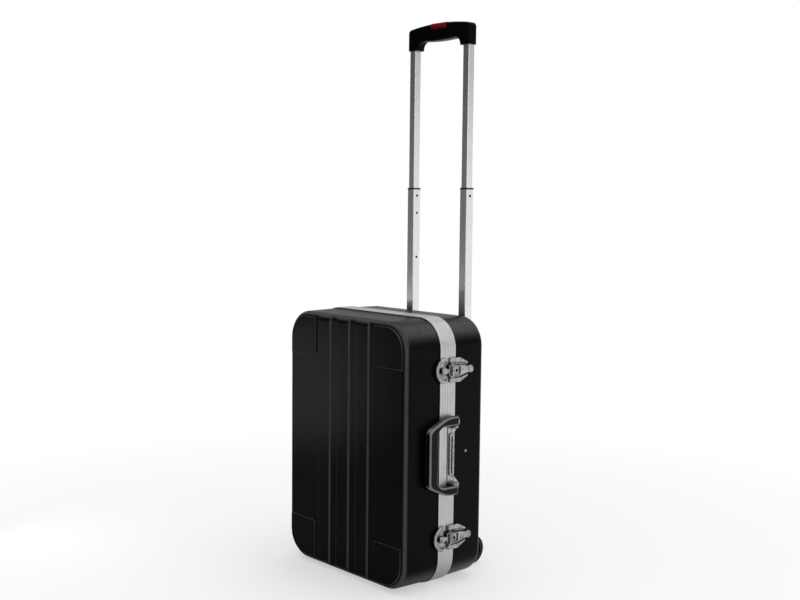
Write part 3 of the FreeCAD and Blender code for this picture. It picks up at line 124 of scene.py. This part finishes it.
def moulded_plastic(name, deep, bright, grain_mm, depth_mm, rough, edge_mm, shine, highlight_tone=None):
    """Moulded plastic: grained skin, faint cloudiness in the gloss, edges slightly rounded.

    deep and bright are the tones of the cloudiness; the last argument is the tone of a painted highlight on
    the rounded edges, if they have one."""
    material, tree, place = new_material(name)
    grain = add(tree, "TexNoise", {"Vector": place, "Scale": 1000 / grain_mm, "Detail": 3.0,
                                   "Roughness": 0.6})
    cloud = add(tree, "TexNoise", {"Vector": place, "Scale": 14.0, "Detail": 4.0, "Roughness": 0.55})
    soft = add(tree, "Bevel", {"Radius": edge_mm / 1000}, samples=6)
    bump = add(tree, "Bump", {"Height": grain.outputs["Fac"], "Distance": depth_mm / 1000, "Strength": 0.6,
                              "Normal": soft.outputs["Normal"]})
    tone = ramp(tree, cloud.outputs["Fac"], [(0.35, deep), (0.7, bright)])
    finish_surface(tree, {
        # painted highlight on the rounded edges, where a tone for it is given
        "Base Color": painted_edge_highlight(tree, place, tone, highlight_tone) if highlight_tone else tone,
        "Roughness": span(tree, cloud.outputs["Fac"], rough - 0.05, rough + 0.06),
        "Specular IOR Level": shine,
        "Normal": bump.outputs["Normal"]})
    return material


def dress(material, *names):
    """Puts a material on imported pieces."""
    for name in names:
        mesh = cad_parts[name].data
        mesh.materials.clear()
        mesh.materials.append(material)


# the last tone, #484a48, is a painted highlight on the rounded edges
shell_abs = moulded_plastic("Moulded ABS, satin black", "#040505", "#070808", grain_mm=1.1, depth_mm=0.02,
                            rough=0.28, edge_mm=1.2, shine=0.05, highlight_tone="#484a48")
dress(shell_abs, "lid_shell", "base_shell")


# ---- Aluminium frame
# Two drawn aluminium sections, bent round the case and satin anodised. The die leaves fine lines
# along the length, so highlights stretch across the band.

def drawn_aluminium(name, tone, rough, across, line_mm):
    """Anodised aluminium with lines along its length; across picks the directions that vary."""
    material, tree, place = new_material(name)
    run = add(tree, "Mapping", {"Vector": place, "Scale": across})
    lines = add(tree, "TexNoise", {"Vector": run.outputs["Vector"], "Scale": 1000 / line_mm,
                                   "Detail": 2.0})
    smudge = add(tree, "TexNoise", {"Vector": place, "Scale": 30.0, "Detail": 5.0, "Roughness": 0.6})
    soft = add(tree, "Bevel", {"Radius": 0.0004}, samples=4)
    bump = add(tree, "Bump", {"Height": lines.outputs["Fac"], "Distance": 0.00003, "Strength": 0.5,
                              "Normal": soft.outputs["Normal"]})
    worn = add(tree, "Math", {0: lines.outputs["Fac"], 1: smudge.outputs["Fac"]}, operation="ADD")
    finish_surface(tree, {
        "Base Color": ramp(tree, smudge.outputs["Fac"], [(0.3, tone[0]), (0.75, tone[1])]),
        "Metallic": 1.0,
        "Roughness": span(tree, worn.outputs["Value"], rough - 0.08, rough + 0.03),
        "Normal": bump.outputs["Normal"]})
    return material


frame_aluminium = drawn_aluminium("Satin anodised aluminium", ("#bcbebe", "#c8c9c9"), rough=0.38,
                                  across=(0.02, 1.0, 0.02), line_mm=0.9)
dress(frame_aluminium, "lid_frame", "base_frame")


# ---- Trolley tubes
# Square drawn tubes in three sizes that slide in each other, bright dipped and clear anodised.
# They are smoother than the frame and mirror their surroundings in long streaks.

tube_aluminium = drawn_aluminium("Bright anodised aluminium tube", ("#e2e3e3", "#ececec"), rough=0.24,
                                 across=(1.0, 1.0, 0.01), line_mm=1.2)
for hand in ("left", "right"):
    dress(tube_aluminium, "trolley_outer_" + hand, "trolley_middle_" + hand, "trolley_inner_" + hand)


# ---- Latches, handle plate, hinges and strikes
# Steel pressings and zinc castings with bright nickel plate. Plating follows every tool mark, so
# the gloss is uneven; the hollows are darkened with painted shade.

def plated(name, bright, dull, rough, blotch_mm):
    """Nickel plate: mirror-like with dull blotches, painted shade in the hollows and softened press edges."""
    material, tree, place = new_material(name)
    blotch = add(tree, "TexNoise", {"Vector": place, "Scale": 1000 / blotch_mm, "Detail": 5.0,
                                    "Roughness": 0.62})
    soft = add(tree, "Bevel", {"Radius": 0.0006}, samples=6)
    hollow = add(tree, "AmbientOcclusion", {"Distance": 0.008}, samples=8)
    bump = add(tree, "Bump", {"Height": blotch.outputs["Fac"], "Distance": 0.0002, "Strength": 0.35,
                              "Normal": soft.outputs["Normal"]})
    # painted shade: the occlusion darkens the colour in hollows and between parts
    painted_hollow_shade = add(tree, "MapRange", {"Value": hollow.outputs["AO"], "From Min": 0.3, "From Max": 0.9,
                                   "To Min": 0.1, "To Max": 1.0})
    tone = ramp(tree, blotch.outputs["Fac"], [(0.3, dull), (0.62, bright)])
    shade = add(tree, "Mix", {0: 1.0, 6: tone, 7: painted_hollow_shade.outputs["Result"]}, data_type="RGBA",
                blend_type="MULTIPLY")
    finish_surface(tree, {
        "Base Color": shade.outputs[2],
        "Metallic": 1.0,
        "Roughness": span(tree, blotch.outputs["Fac"], rough + 0.16, rough - 0.06),
        "Normal": bump.outputs["Normal"]})
    return material


nickel = plated("Bright nickel plate", bright="#b2b3b3", dull="#757676", rough=0.24, blotch_mm=9.0)
for level in ("lower", "upper"):
    for part in ("plate", "lever", "claw", "lock", "strike"):
        dress(nickel, "latch_%s_%s" % (level, part))
    for part in ("base_leaf", "lid_leaf", "pin"):
        dress(nickel, "hinge_%s_%s" % (level, part))
dress(nickel, "handle_plate")


# ---- Carry handle and trolley grip
# Injection moulded polypropylene, black, smoother than the shells where hands polish it. The
# release button in the grip is dark red. The rounded edges of the carry handle carry a painted highlight.

# the last tone, #868884, is a painted highlight on the handle's rounded edges
handle_plastic = moulded_plastic("Moulded polypropylene, semi-gloss black", "#050606", "#080909",
                                 grain_mm=1.6, depth_mm=0.02, rough=0.26, edge_mm=1.0, shine=0.12,
                                 highlight_tone="#868884")
dress(handle_plastic, "carry_handle")

grip_plastic = moulded_plastic("Moulded polypropylene, satin black", "#030303", "#050505",
                               grain_mm=1.6, depth_mm=0.02, rough=0.34, edge_mm=1.0, shine=0.04)
dress(grip_plastic, "trolley_grip")

button_plastic = moulded_plastic("Moulded polypropylene, dark red", "#6a0b10", "#801217",
                                 grain_mm=2.0, depth_mm=0.02, rough=0.3, edge_mm=0.8, shine=0.15)
dress(button_plastic, "release_button")


# ---- Brackets, collars, wheels and feet
# Glass-filled nylon with a coarse spark-eroded skin, and soft black rubber on the wheels.

nylon = moulded_plastic("Glass-filled nylon, textured", "#121314", "#191a1b", grain_mm=1.3,
                        depth_mm=0.1, rough=0.5, edge_mm=0.8, shine=0.3)
dress(nylon, "top_bracket", "wheel_housing", "wheel_left_hub", "wheel_right_hub")
for hand in ("left", "right"):
    dress(nylon, "trolley_collar_" + hand, "trolley_stud_" + hand)
for name in sorted(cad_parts):
    if name.startswith("foot_"):
        dress(nylon, name)

rubber = moulded_plastic("Moulded rubber", "#121212", "#1a1a1a", grain_mm=1.5, depth_mm=0.12,
                         rough=0.74, edge_mm=1.0, shine=0.3)
dress(rubber, "wheel_left_tyre", "wheel_right_tyre", "gasket")


# ---- Axle, yoke, screws and strap rivet
# Mild steel with a dull zinc coat, greyer and rougher than the nickel.

zinc = plated("Zinc-plated steel", bright="#a9abad", dull="#7d7f82", rough=0.36, blotch_mm=5.0)
dress(zinc, "axle", "release_yoke", "strap_rivet")
for name in sorted(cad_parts):
    if name.startswith("bracket_screw"):
        dress(zinc, name)


# ---- Foam tray
# Grey polyethylene foam, cut to fill the base, with a rounded well for the laptop. Its skin is
# finely cellular and its edges are worn soft.

def rounded_ring(low, high, inset, radius, y, steps=8):
    """Points of an upright rounded rectangle at one depth, shrunk by an inset."""
    r = max(radius - inset, 0.0015)
    points = []
    corners = ((high.x - inset, high.z - inset, 0), (low.x + inset, high.z - inset, 1),
               (low.x + inset, low.z + inset, 2), (high.x - inset, low.z + inset, 3))
    for x, z, quarter in corners:
        middle_x = x - r if quarter in (0, 3) else x + r
        middle_z = z - r if quarter in (0, 1) else z + r
        for i in range(steps + 1):
            turn = (quarter + i / steps) * math.pi / 2
            points.append(Vector((middle_x + r * math.cos(turn), y, middle_z + r * math.sin(turn))))
    return points


def piece(name, points, faces, material, body, slot_name):
    """A smooth mesh object that rides on a body, with the given material; slot_name is not used."""
    mesh = bpy.data.meshes.new(name)
    mesh.from_pydata([tuple(p) for p in points], [], faces)
    mesh.materials.append(material)
    mesh.shade_smooth()
    made = bpy.data.objects.new(name, mesh)
    bpy.context.scene.collection.objects.link(made)
    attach(made, body)
    return made


def skin(rings):
    """Closed skin through rings of equal length, with a flat face at each end."""
    count = len(rings[0])
    points = [p for ring in rings for p in ring]
    faces = [tuple(range(count))[::-1]]
    for k in range(len(rings) - 1):
        for i in range(count):
            j = (i + 1) % count
            faces.append((k * count + i, k * count + j, (k + 1) * count + j, (k + 1) * count + i))
    last = (len(rings) - 1) * count
    faces.append(tuple(range(last, last + count)))
    return points, faces


def round_over(inset, y, radius, start, stop, steps=5):
    """(inset, y) stations of a rounded edge; angles in degrees from the +inset direction."""
    stations = []
    for i in range(steps + 1):
        turn = math.radians(start + (stop - start) * i / steps)
        stations.append((inset + radius * math.cos(turn), y + radius * math.sin(turn)))
    return stations


def foam(name, deep, bright):
    """Closed-cell foam: small pits, cloudy tone, no gloss."""
    material, tree, place = new_material(name)
    cell_mm = 1.6
    cells = add(tree, "TexVoronoi", {"Vector": place, "Scale": 1000 / cell_mm})
    cloud = add(tree, "TexNoise", {"Vector": place, "Scale": 60.0, "Detail": 5.0, "Roughness": 0.6})
    bump = add(tree, "Bump", {"Height": cells.outputs["Distance"], "Distance": 0.0004, "Strength": 0.7})
    finish_surface(tree, {
        "Base Color": ramp(tree, cloud.outputs["Fac"], [(0.3, deep), (0.7, bright)]),
        "Roughness": 0.92,
        "Specular IOR Level": 0.2,
        "Normal": bump.outputs["Normal"]})
    return material


tray_low, tray_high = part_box("foam_tray")
well_low, well_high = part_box("laptop_cushion")
well_gap = 0.0006           # cushion to the wall of the well
tray_corner = 0.0475
well_corner = 0.022
back_round = 0.008          # rounding of the tray's back edge
back_inset = 0.0098
mouth_low = Vector((well_low.x - well_gap, 0, well_low.z - well_gap))
mouth_high = Vector((well_high.x + well_gap, 0, well_high.z + well_gap))
soft_edge = 0.004           # rounding of the worn edges at the mouth and the floor
floor_y = well_high.y + 0.0003
tray_rings = []
for inset, y in round_over(back_inset, tray_high.y - back_round, back_round, 90, 180):
    tray_rings.append(rounded_ring(tray_low, tray_high, inset, tray_corner, y))
for inset, y in round_over(soft_edge, tray_low.y + soft_edge, soft_edge, 180, 270):
    tray_rings.append(rounded_ring(tray_low, tray_high, inset, tray_corner, y))
for inset, y in round_over(-soft_edge, tray_low.y + soft_edge, soft_edge, 270, 360):
    tray_rings.append(rounded_ring(mouth_low, mouth_high, inset, well_corner, y))
for inset, y in round_over(soft_edge, floor_y - soft_edge, soft_edge, 180, 90):
    tray_rings.append(rounded_ring(mouth_low, mouth_high, inset, well_corner, y))
grey_foam = foam("Grey cellular foam", "#3a3c3f", "#4a4c50")
tray = piece("foam_tray_soft", *skin(tray_rings), grey_foam, "case", "foam")
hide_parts("foam_tray")


# ---- Laptop cushion
# A thin quilted pad on the well's floor, charcoal nylon over soft foam, sewn in upright channels
# with a corded edge.

def woven(name, warp, weft, thread_mm, sheen):
    """Plain weave at its real thread size, on a surface that faces the front or the back."""
    material, tree, place = new_material(name)
    axes = add(tree, "SeparateXYZ", {"Vector": place})
    turns = 2 * math.pi * 1000 / (2 * thread_mm)
    waves = []
    for axis in ("X", "Z"):
        run = add(tree, "Math", {0: axes.outputs[axis], 1: turns}, operation="MULTIPLY")
        waves.append(add(tree, "Math", {0: run.outputs["Value"]}, operation="SINE").outputs["Value"])
    over = add(tree, "Math", {0: waves[0], 1: waves[1]}, operation="MULTIPLY")
    height = add(tree, "MapRange", {"Value": over.outputs["Value"], "From Min": -1.0, "From Max": 1.0})
    worn = add(tree, "TexNoise", {"Vector": place, "Scale": 35.0, "Detail": 4.0, "Roughness": 0.6})
    tone = add(tree, "Math", {0: height.outputs["Result"], 1: worn.outputs["Fac"]}, operation="MULTIPLY")
    bump = add(tree, "Bump", {"Height": height.outputs["Result"], "Distance": thread_mm / 5000,
                              "Strength": 0.6})
    finish_surface(tree, {
        "Base Color": ramp(tree, tone.outputs["Value"], [(0.1, weft), (0.6, warp)]),
        "Roughness": 0.8,
        "Specular IOR Level": 0.3,
        "Sheen Weight": sheen,
        "Sheen Roughness": 0.5,
        "Normal": bump.outputs["Normal"]})
    return material


def upholstered(name, low, high, corner, thickness, face, material, body, slot_name, edge, grid=(56, 84)):
    """Padded panel: rounded outline, flat back, and a front that swells by a thickness function.

    face is the direction along Y that the padding swells in, edge is how far in from the rim the
    swelling reaches its full height, and the thickness is asked for at (x, z, distance to the rim)."""
    half_x = (high.x - low.x) / 2
    half_z = (high.z - low.z) / 2
    middle = (low + high) / 2
    base_y = high.y if face < 0 else low.y
    across, along = grid
    points = []
    for level in (0.0, 1.0):
        for j in range(along + 1):
            for i in range(across + 1):
                u = 2 * i / across - 1
                v = 2 * j / along - 1
                x = u * half_x
                z = v * half_z
                over_x = max(abs(x) - (half_x - corner), 0.0) / corner
                over_z = max(abs(z) - (half_z - corner), 0.0) / corner
                if over_x > 0 and over_z > 0:
                    x = math.copysign(half_x - corner + corner * over_x * math.sqrt(1 - over_z ** 2 / 2), u)
                    z = math.copysign(half_z - corner + corner * over_z * math.sqrt(1 - over_x ** 2 / 2), v)
                past_x = max(abs(x) - (half_x - corner), 0.0)
                past_z = max(abs(z) - (half_z - corner), 0.0)
                rim = min(half_x - abs(x), half_z - abs(z))
                if past_x > 0 and past_z > 0:
                    rim = corner - math.hypot(past_x, past_z)
                fall = math.sqrt(max(1 - (1 - min(max(rim, 0.0) / edge, 1.0)) ** 2, 0.0))
                y = base_y + face * level * (0.25 + 0.75 * fall) * thickness(x, z, rim)
                points.append(Vector((middle.x + x, y, middle.z + z)))
    row = across + 1
    front = row * (along + 1)
    faces = []
    for j in range(along):
        for i in range(across):
            a = j * row + i
            quad = (a, a + 1, a + row + 1, a + row)
            faces.append(quad if face < 0 else quad[::-1])
            quad = tuple(front + k for k in quad[::-1])
            faces.append(quad if face < 0 else quad[::-1])
    rim_path = ([i for i in range(across)] + [j * row + across for j in range(along)]
                + [along * row + i for i in range(across, 0, -1)] + [j * row for j in range(along, 0, -1)])
    for k, a in enumerate(rim_path):
        b = rim_path[(k + 1) % len(rim_path)]
        quad = (a, front + a, front + b, b)
        faces.append(quad if face < 0 else quad[::-1])
    return piece(name, points, faces, material, body, slot_name)


def corded_edge(name, low, high, inset, corner, y, radius, material, body, slot_name):
    """Round piping along a panel's outline."""
    path = rounded_ring(low, high, inset, corner, y, 10)
    count = len(path)
    sides = 8
    points = []
    for i, here in enumerate(path):
        run = (path[(i + 1) % count] - path[i - 1]).normalized()
        out = Vector((run.z, 0.0, -run.x))
        for k in range(sides):
            turn = 2 * math.pi * k / sides
            points.append(here + radius * (out * math.cos(turn) + Vector((0.0, math.sin(turn), 0.0))))
    faces = []
    for i in range(count):
        j = (i + 1) % count
        for k in range(sides):
            m = (k + 1) % sides
            faces.append((i * sides + k, i * sides + m, j * sides + m, j * sides + k))
    return piece(name, points, faces, material, body, slot_name)


def channelled(full, pitch, dip):
    """Thickness of a panel sewn in upright channels."""
    def at(x, z, rim):
        swell = abs(math.sin(math.pi * x / pitch))
        return full - dip * (1 - swell ** 0.45) + 0.0004 * math.sin(70 * z + 9 * x)
    return at


lining_nylon = woven("Woven nylon lining, charcoal", "#3b3d42", "#232428", thread_mm=0.5, sheen=0.25)
piping_nylon = moulded_plastic("Nylon piping cord", "#17181a", "#222326", grain_mm=0.7, depth_mm=0.15,
                               rough=0.7, edge_mm=0.5, shine=0.3)
pad_low, pad_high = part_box("laptop_cushion")
pad_corner = 0.021
cord_radius = 0.0016
sewn_channels = channelled(full=0.0078, pitch=0.047, dip=0.0026)
cushion = upholstered("laptop_cushion_soft", pad_low, pad_high, pad_corner, sewn_channels, -1,
                      lining_nylon, "case", "lining_fabric", edge=0.009)
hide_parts("laptop_cushion")
corded_edge("laptop_cushion_piping", pad_low, pad_high, 0.0022, pad_corner, pad_high.y - 0.0025,
            cord_radius, piping_nylon, "case", "lining_fabric")


# ---- Lid pad
# Foam padding glued into the lid under charcoal nylon, quilted in squares so that it stays put.

def quilted(full, pitch, dip):
    """Thickness of a panel sewn in squares."""
    def at(x, z, rim):
        swell = min(abs(math.sin(math.pi * x / pitch)), abs(math.sin(math.pi * z / pitch)))
        return full - dip * (1 - min(swell * 1.6, 1.0) ** 0.5)
    return at


lid_low, lid_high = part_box("lid_pad")
cloth_room = Vector((0.0018, 0, 0.0018))
sewn_squares = quilted(full=0.0136, pitch=0.052, dip=0.0042)
lid_padding = upholstered("lid_pad_soft", lid_low + cloth_room, lid_high - cloth_room, 0.045, sewn_squares,
                          1, lining_nylon, "lid", "lining_fabric", edge=0.010, grid=(120, 172))
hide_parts("lid_pad")


# ---- Lid pocket
# A flat bellows pocket for papers, sewn to the lid padding along three sides. A gathered elastic
# hem closes its mouth, which is the upper edge, and the cloth bags out towards the bottom.

pocket_low, pocket_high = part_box("lid_pocket")
pocket_tall = pocket_high.z - pocket_low.z
pocket_corner = 0.014
gather = 0.0035             # length of one pucker of the elastic, divided by 2 pi


def bagging(x, z, rim):
    """Thickness of the pocket: full low down, thin and puckered at the mouth."""
    rise = z / pocket_tall + 0.5
    mouth = 0.82
    pucker = 0.0009 * math.sin(x / gather) * max(rise - mouth, 0.0) / 0.18
    crease = 0.0006 * math.sin(34 * x + 6 * math.sin(21 * z)) * (1 - rise)
    return 0.0078 - 0.0042 * rise ** 2 + pucker + crease


pocket = upholstered("lid_pocket_soft", pocket_low, pocket_high, pocket_corner, bagging, 1,
                     lining_nylon, "lid", "lining_fabric", edge=0.012, grid=(150, 60))
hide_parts("lid_pocket")
corded_edge("lid_pocket_piping", pocket_low, pocket_high, 0.0018, pocket_corner, pocket_low.y + 0.0018,
            cord_radius, piping_nylon, "lid", "lining_fabric")

hem_in = 0.012
hem_low = Vector((pocket_low.x + hem_in, pocket_low.y + 0.0004, pocket_high.z - 0.024))
hem_high = Vector((pocket_high.x - hem_in, pocket_low.y + 0.0052, pocket_high.z - 0.012))


def gathered(x, z, rim):
    """Thickness of the elastic hem, puckered along its length."""
    return 0.0044 + 0.0005 * math.sin(x / gather)


hem = upholstered("lid_pocket_hem", hem_low, hem_high, 0.003, gathered, 1, piping_nylon, "lid",
                  "lining_fabric", edge=0.002, grid=(150, 8))


# ---- Laptop strap
# Two lengths of 38 mm nylon webbing that cross the well and overlap in the middle with hook and
# loop. The weave has fine ribs across its width and a thicker selvedge at both edges.

def webbing(name, light, dark, rib_mm):
    """Ribbed webbing at its real rib size."""
    material, tree, place = new_material(name)
    axes = add(tree, "SeparateXYZ", {"Vector": place})
    rib_turns = 2 * math.pi * 1000 / rib_mm
    row_turns = 2 * math.pi * 1000 / (1.6 * rib_mm)
    ribs = add(tree, "Math", {0: axes.outputs["X"], 1: rib_turns}, operation="MULTIPLY")
    ribs = add(tree, "Math", {0: ribs.outputs["Value"]}, operation="SINE")
    rows = add(tree, "Math", {0: axes.outputs["Z"], 1: row_turns}, operation="MULTIPLY")
    rows = add(tree, "Math", {0: rows.outputs["Value"]}, operation="SINE")
    weave = add(tree, "Math", {0: ribs.outputs["Value"], 1: rows.outputs["Value"]}, operation="MULTIPLY")
    height = add(tree, "MapRange", {"Value": weave.outputs["Value"], "From Min": -1.0, "From Max": 1.0})
    bump = add(tree, "Bump", {"Height": height.outputs["Result"], "Distance": 0.0002, "Strength": 0.7})
    finish_surface(tree, {
        "Base Color": ramp(tree, height.outputs["Result"], [(0.1, dark), (0.8, light)]),
        "Roughness": 0.75,
        "Specular IOR Level": 0.35,
        "Sheen Weight": 0.15,
        "Normal": bump.outputs["Normal"]})
    return material


def strap(name, x0, x1, low, high, lift):
    """Flat strap from x0 to x1 with selvedges and a slight wave; lift raises the overlapping end."""
    steps = 60
    section = ((0.0, 0.15), (0.02, 0.85), (0.07, 1.0), (0.12, 0.8), (0.5, 0.85), (0.88, 0.8), (0.93, 1.0),
               (0.98, 0.85), (1.0, 0.15))
    thick = 0.0009
    points = []
    for i in range(steps + 1):
        t = i / steps
        x = x0 + (x1 - x0) * t
        y = high.y - lift(t) + 0.00008 * math.sin(25 * t)
        loop = [(share, 0.5 + weight / 2) for share, weight in section]
        loop += [(share, 0.5 - weight / 2) for share, weight in reversed(section)]
        for share, depth in loop:
            points.append(Vector((x, y - thick * depth, low.z + (high.z - low.z) * share)))
    count = 2 * len(section)
    faces = [tuple(range(count)), tuple(range(steps * count, (steps + 1) * count))[::-1]]
    for i in range(steps):
        for k in range(count):
            m = (k + 1) % count
            faces.append((i * count + k, (i + 1) * count + k, (i + 1) * count + m, i * count + m))
    made = piece(name, points, faces, black_webbing, "case", "webbing")
    return made


def lies_flat(t):
    """Lift of the lower length: none."""
    return 0.0


def steps_over(t):
    """Lift of the upper length: it climbs onto the lower one a little past its own middle."""
    return 0.00105 * min(max((t - 0.55) / 0.1, 0.0), 1.0)


black_webbing = webbing("Ribbed nylon webbing, black", light="#1d1e20", dark="#0e0f10", rib_mm=1.3)
strap_low, strap_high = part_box("laptop_strap")
end_room = Vector((0.001, 0.0, 0.0))
strap_low = strap_low + end_room
strap_high = strap_high - end_room
strap_middle = (strap_low.x + strap_high.x) / 2
half_overlap = 0.035
under = strap("laptop_strap_left", strap_low.x, strap_middle + half_overlap, strap_low, strap_high, lies_flat)
over = strap("laptop_strap_right", strap_high.x, strap_middle - half_overlap, strap_low, strap_high,
             steps_over)
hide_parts("laptop_strap")
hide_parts("laptop_strap")


# ---- Camera
# Stands at the latch side, a little above the case, with a short portrait lens.

shell_low, shell_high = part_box("lid_shell")
azimuth = math.radians(48.45)
dip = math.radians(4.96)
tilt = math.radians(0.60)
lens_mm = 51.94
sensor_mm = 36.0
aside = 1.6272              # from the middle of the lid shell
back_off = 1.3068           # from its front
above = 0.6903              # from its lowest line
stand = Vector(((shell_low.x + shell_high.x) / 2 + aside, shell_low.y - back_off, shell_low.z + above))
ahead = Vector((-math.sin(azimuth) * math.cos(dip), math.cos(azimuth) * math.cos(dip), -math.sin(dip)))
level = Vector((math.cos(azimuth), math.sin(azimuth), 0.0))
upright = level.cross(ahead)
side = level * math.cos(tilt) + upright * math.sin(tilt)
top = upright * math.cos(tilt) - level * math.sin(tilt)
camera_data = bpy.data.cameras.new("camera")
camera_data.lens = lens_mm
camera_data.sensor_width = sensor_mm
camera_data.clip_end = 60.0
camera = bpy.data.objects.new("camera", camera_data)
camera.matrix_world = Matrix((
    (side.x, top.x, -ahead.x, stand.x),
    (side.y, top.y, -ahead.y, stand.y),
    (side.z, top.z, -ahead.z, stand.z),
    (0.0, 0.0, 0.0, 1.0)))
bpy.context.scene.collection.objects.link(camera)
bpy.context.scene.camera = camera
bpy.context.scene.view_settings.view_transform = "Standard"


# ---- Floor, surroundings and lamps
# A pale floor that fades to white a short way off, a white room for the camera, and soft lamps.
# What glossy surfaces mirror is white behind the case, dim in front of it, and darker in a
# stretch just above the horizon.

def room_light(tree, toward):
    """Brightness of the surroundings that a glossy surface mirrors, by direction."""
    dimmest = 0.17                                  # straight in front of the ribs
    turning = 0.62                                  # how far round the light changes, either side
    stretch_from = (0.05, 0.12)                     # heights where the darker stretch sets in
    stretch_to = (0.2, 0.34)                        # heights where it ends
    stretch_loss = 0.72                             # share of the light that it takes away
    facing = add(tree, "VectorMath", {0: toward, 1: (0.0, 1.0, 0.0)}, operation="DOT_PRODUCT")
    bright = add(tree, "MapRange", {"Value": facing.outputs["Value"], "From Min": -turning,
                                    "From Max": turning, "To Min": dimmest, "To Max": 1.0},
                 interpolation_type="SMOOTHSTEP")
    height = add(tree, "SeparateXYZ", {"Vector": toward}).outputs["Z"]
    start, end = (add(tree, "MapRange", {"Value": height, "From Min": low, "From Max": high},
                      interpolation_type="SMOOTHSTEP") for low, high in (stretch_from, stretch_to))
    stretch = add(tree, "Math", {0: start.outputs["Result"], 1: end.outputs["Result"]}, operation="SUBTRACT")
    left = add(tree, "Math", {0: stretch.outputs["Value"], 1: -stretch_loss, 2: 1.0},
               operation="MULTIPLY_ADD")
    level = add(tree, "Math", {0: bright.outputs["Result"], 1: left.outputs["Value"]}, operation="MULTIPLY")
    return level.outputs["Value"]


floor_mesh = bpy.data.meshes.new("floor")
reach = 30.0
floor_mesh.from_pydata([(-reach, -reach, 0), (reach, -reach, 0), (reach, reach, 0), (-reach, reach, 0)], [],
                       [(0, 1, 2, 3)])
floor = bpy.data.objects.new("floor", floor_mesh)
bpy.context.scene.collection.objects.link(floor)
floor_paint, tree, place = new_material("Pale matt floor")
matt = add(tree, "BsdfDiffuse", {"Color": linear("#f4f4f4")})
away = add(tree, "VectorMath", {0: place}, operation="LENGTH").outputs["Value"]
far = add(tree, "MapRange", {"Value": away, "From Min": 0.2, "From Max": 1.3, "To Min": 0.5,
                             "To Max": 1.0})
toward = add(tree, "VectorMath", {0: place}, operation="NORMALIZE").outputs["Vector"]
rays = add(tree, "LightPath")
shown = add(tree, "Math", {0: rays.outputs["Is Camera Ray"], 1: room_light(tree, toward)},
            operation="MAXIMUM")
glow = add(tree, "Emission", {"Color": linear("#ffffff"), "Strength": shown.outputs["Value"]})
direct = add(tree, "Math", {0: rays.outputs["Is Camera Ray"], 1: rays.outputs["Is Glossy Ray"]},
             operation="ADD")
seen = add(tree, "Math", {0: direct.outputs["Value"], 1: far.outputs["Result"]}, operation="MULTIPLY")
mixed = add(tree, "MixShader", {0: seen.outputs["Value"], 1: matt.outputs["BSDF"],
                                2: glow.outputs["Emission"]})
add(tree, "OutputMaterial", {"Surface": mixed.outputs["Shader"]})
floor_mesh.materials.append(floor_paint)

world = bpy.data.worlds.new("studio")
world.use_nodes = True
bpy.context.scene.world = world
tree = world.node_tree
tree.nodes.clear()
toward = add(tree, "TexCoord").outputs["Generated"]
room = add(tree, "Background", {"Color": linear("#ffffff"), "Strength": room_light(tree, toward)})
white = add(tree, "Background", {"Color": linear("#ffffff"), "Strength": 1.0})
rays = add(tree, "LightPath")
mixed = add(tree, "MixShader", {0: rays.outputs["Is Camera Ray"], 1: room.outputs["Background"],
                                2: white.outputs["Background"]})
add(tree, "OutputWorld", {"Surface": mixed.outputs["Shader"]})


def soft_lamp(name, place, aim, size, power):
    """Rectangular lamp that faces a point."""
    lamp = bpy.data.lights.new(name, "AREA")
    lamp.shape = "RECTANGLE"
    lamp.size = size[0]
    lamp.size_y = size[1]
    lamp.energy = power
    made = bpy.data.objects.new(name, lamp)
    made.location = place
    made.rotation_mode = "QUATERNION"
    made.rotation_quaternion = (Vector(aim) - Vector(place)).to_track_quat("-Z", "Y")
    bpy.context.scene.collection.objects.link(made)


soft_lamp("overhead", (0.1, -0.2, 2.6), aim=(0.0, 0.0, 0.4), size=(2.4, 2.4), power=24)
soft_lamp("front_right", (1.2, -1.95, 0.75), aim=(0.15, -0.1, 0.35), size=(1.6, 1.4), power=9)
soft_lamp("low_left", (-0.65, -0.55, 0.24), aim=(-0.1, -0.1, 0.24), size=(0.25, 0.3), power=0.5)
soft_lamp("right", (2.4, 0.6, 1.4), aim=(0.0, 0.0, 0.5), size=(0.8, 2.0), power=10)
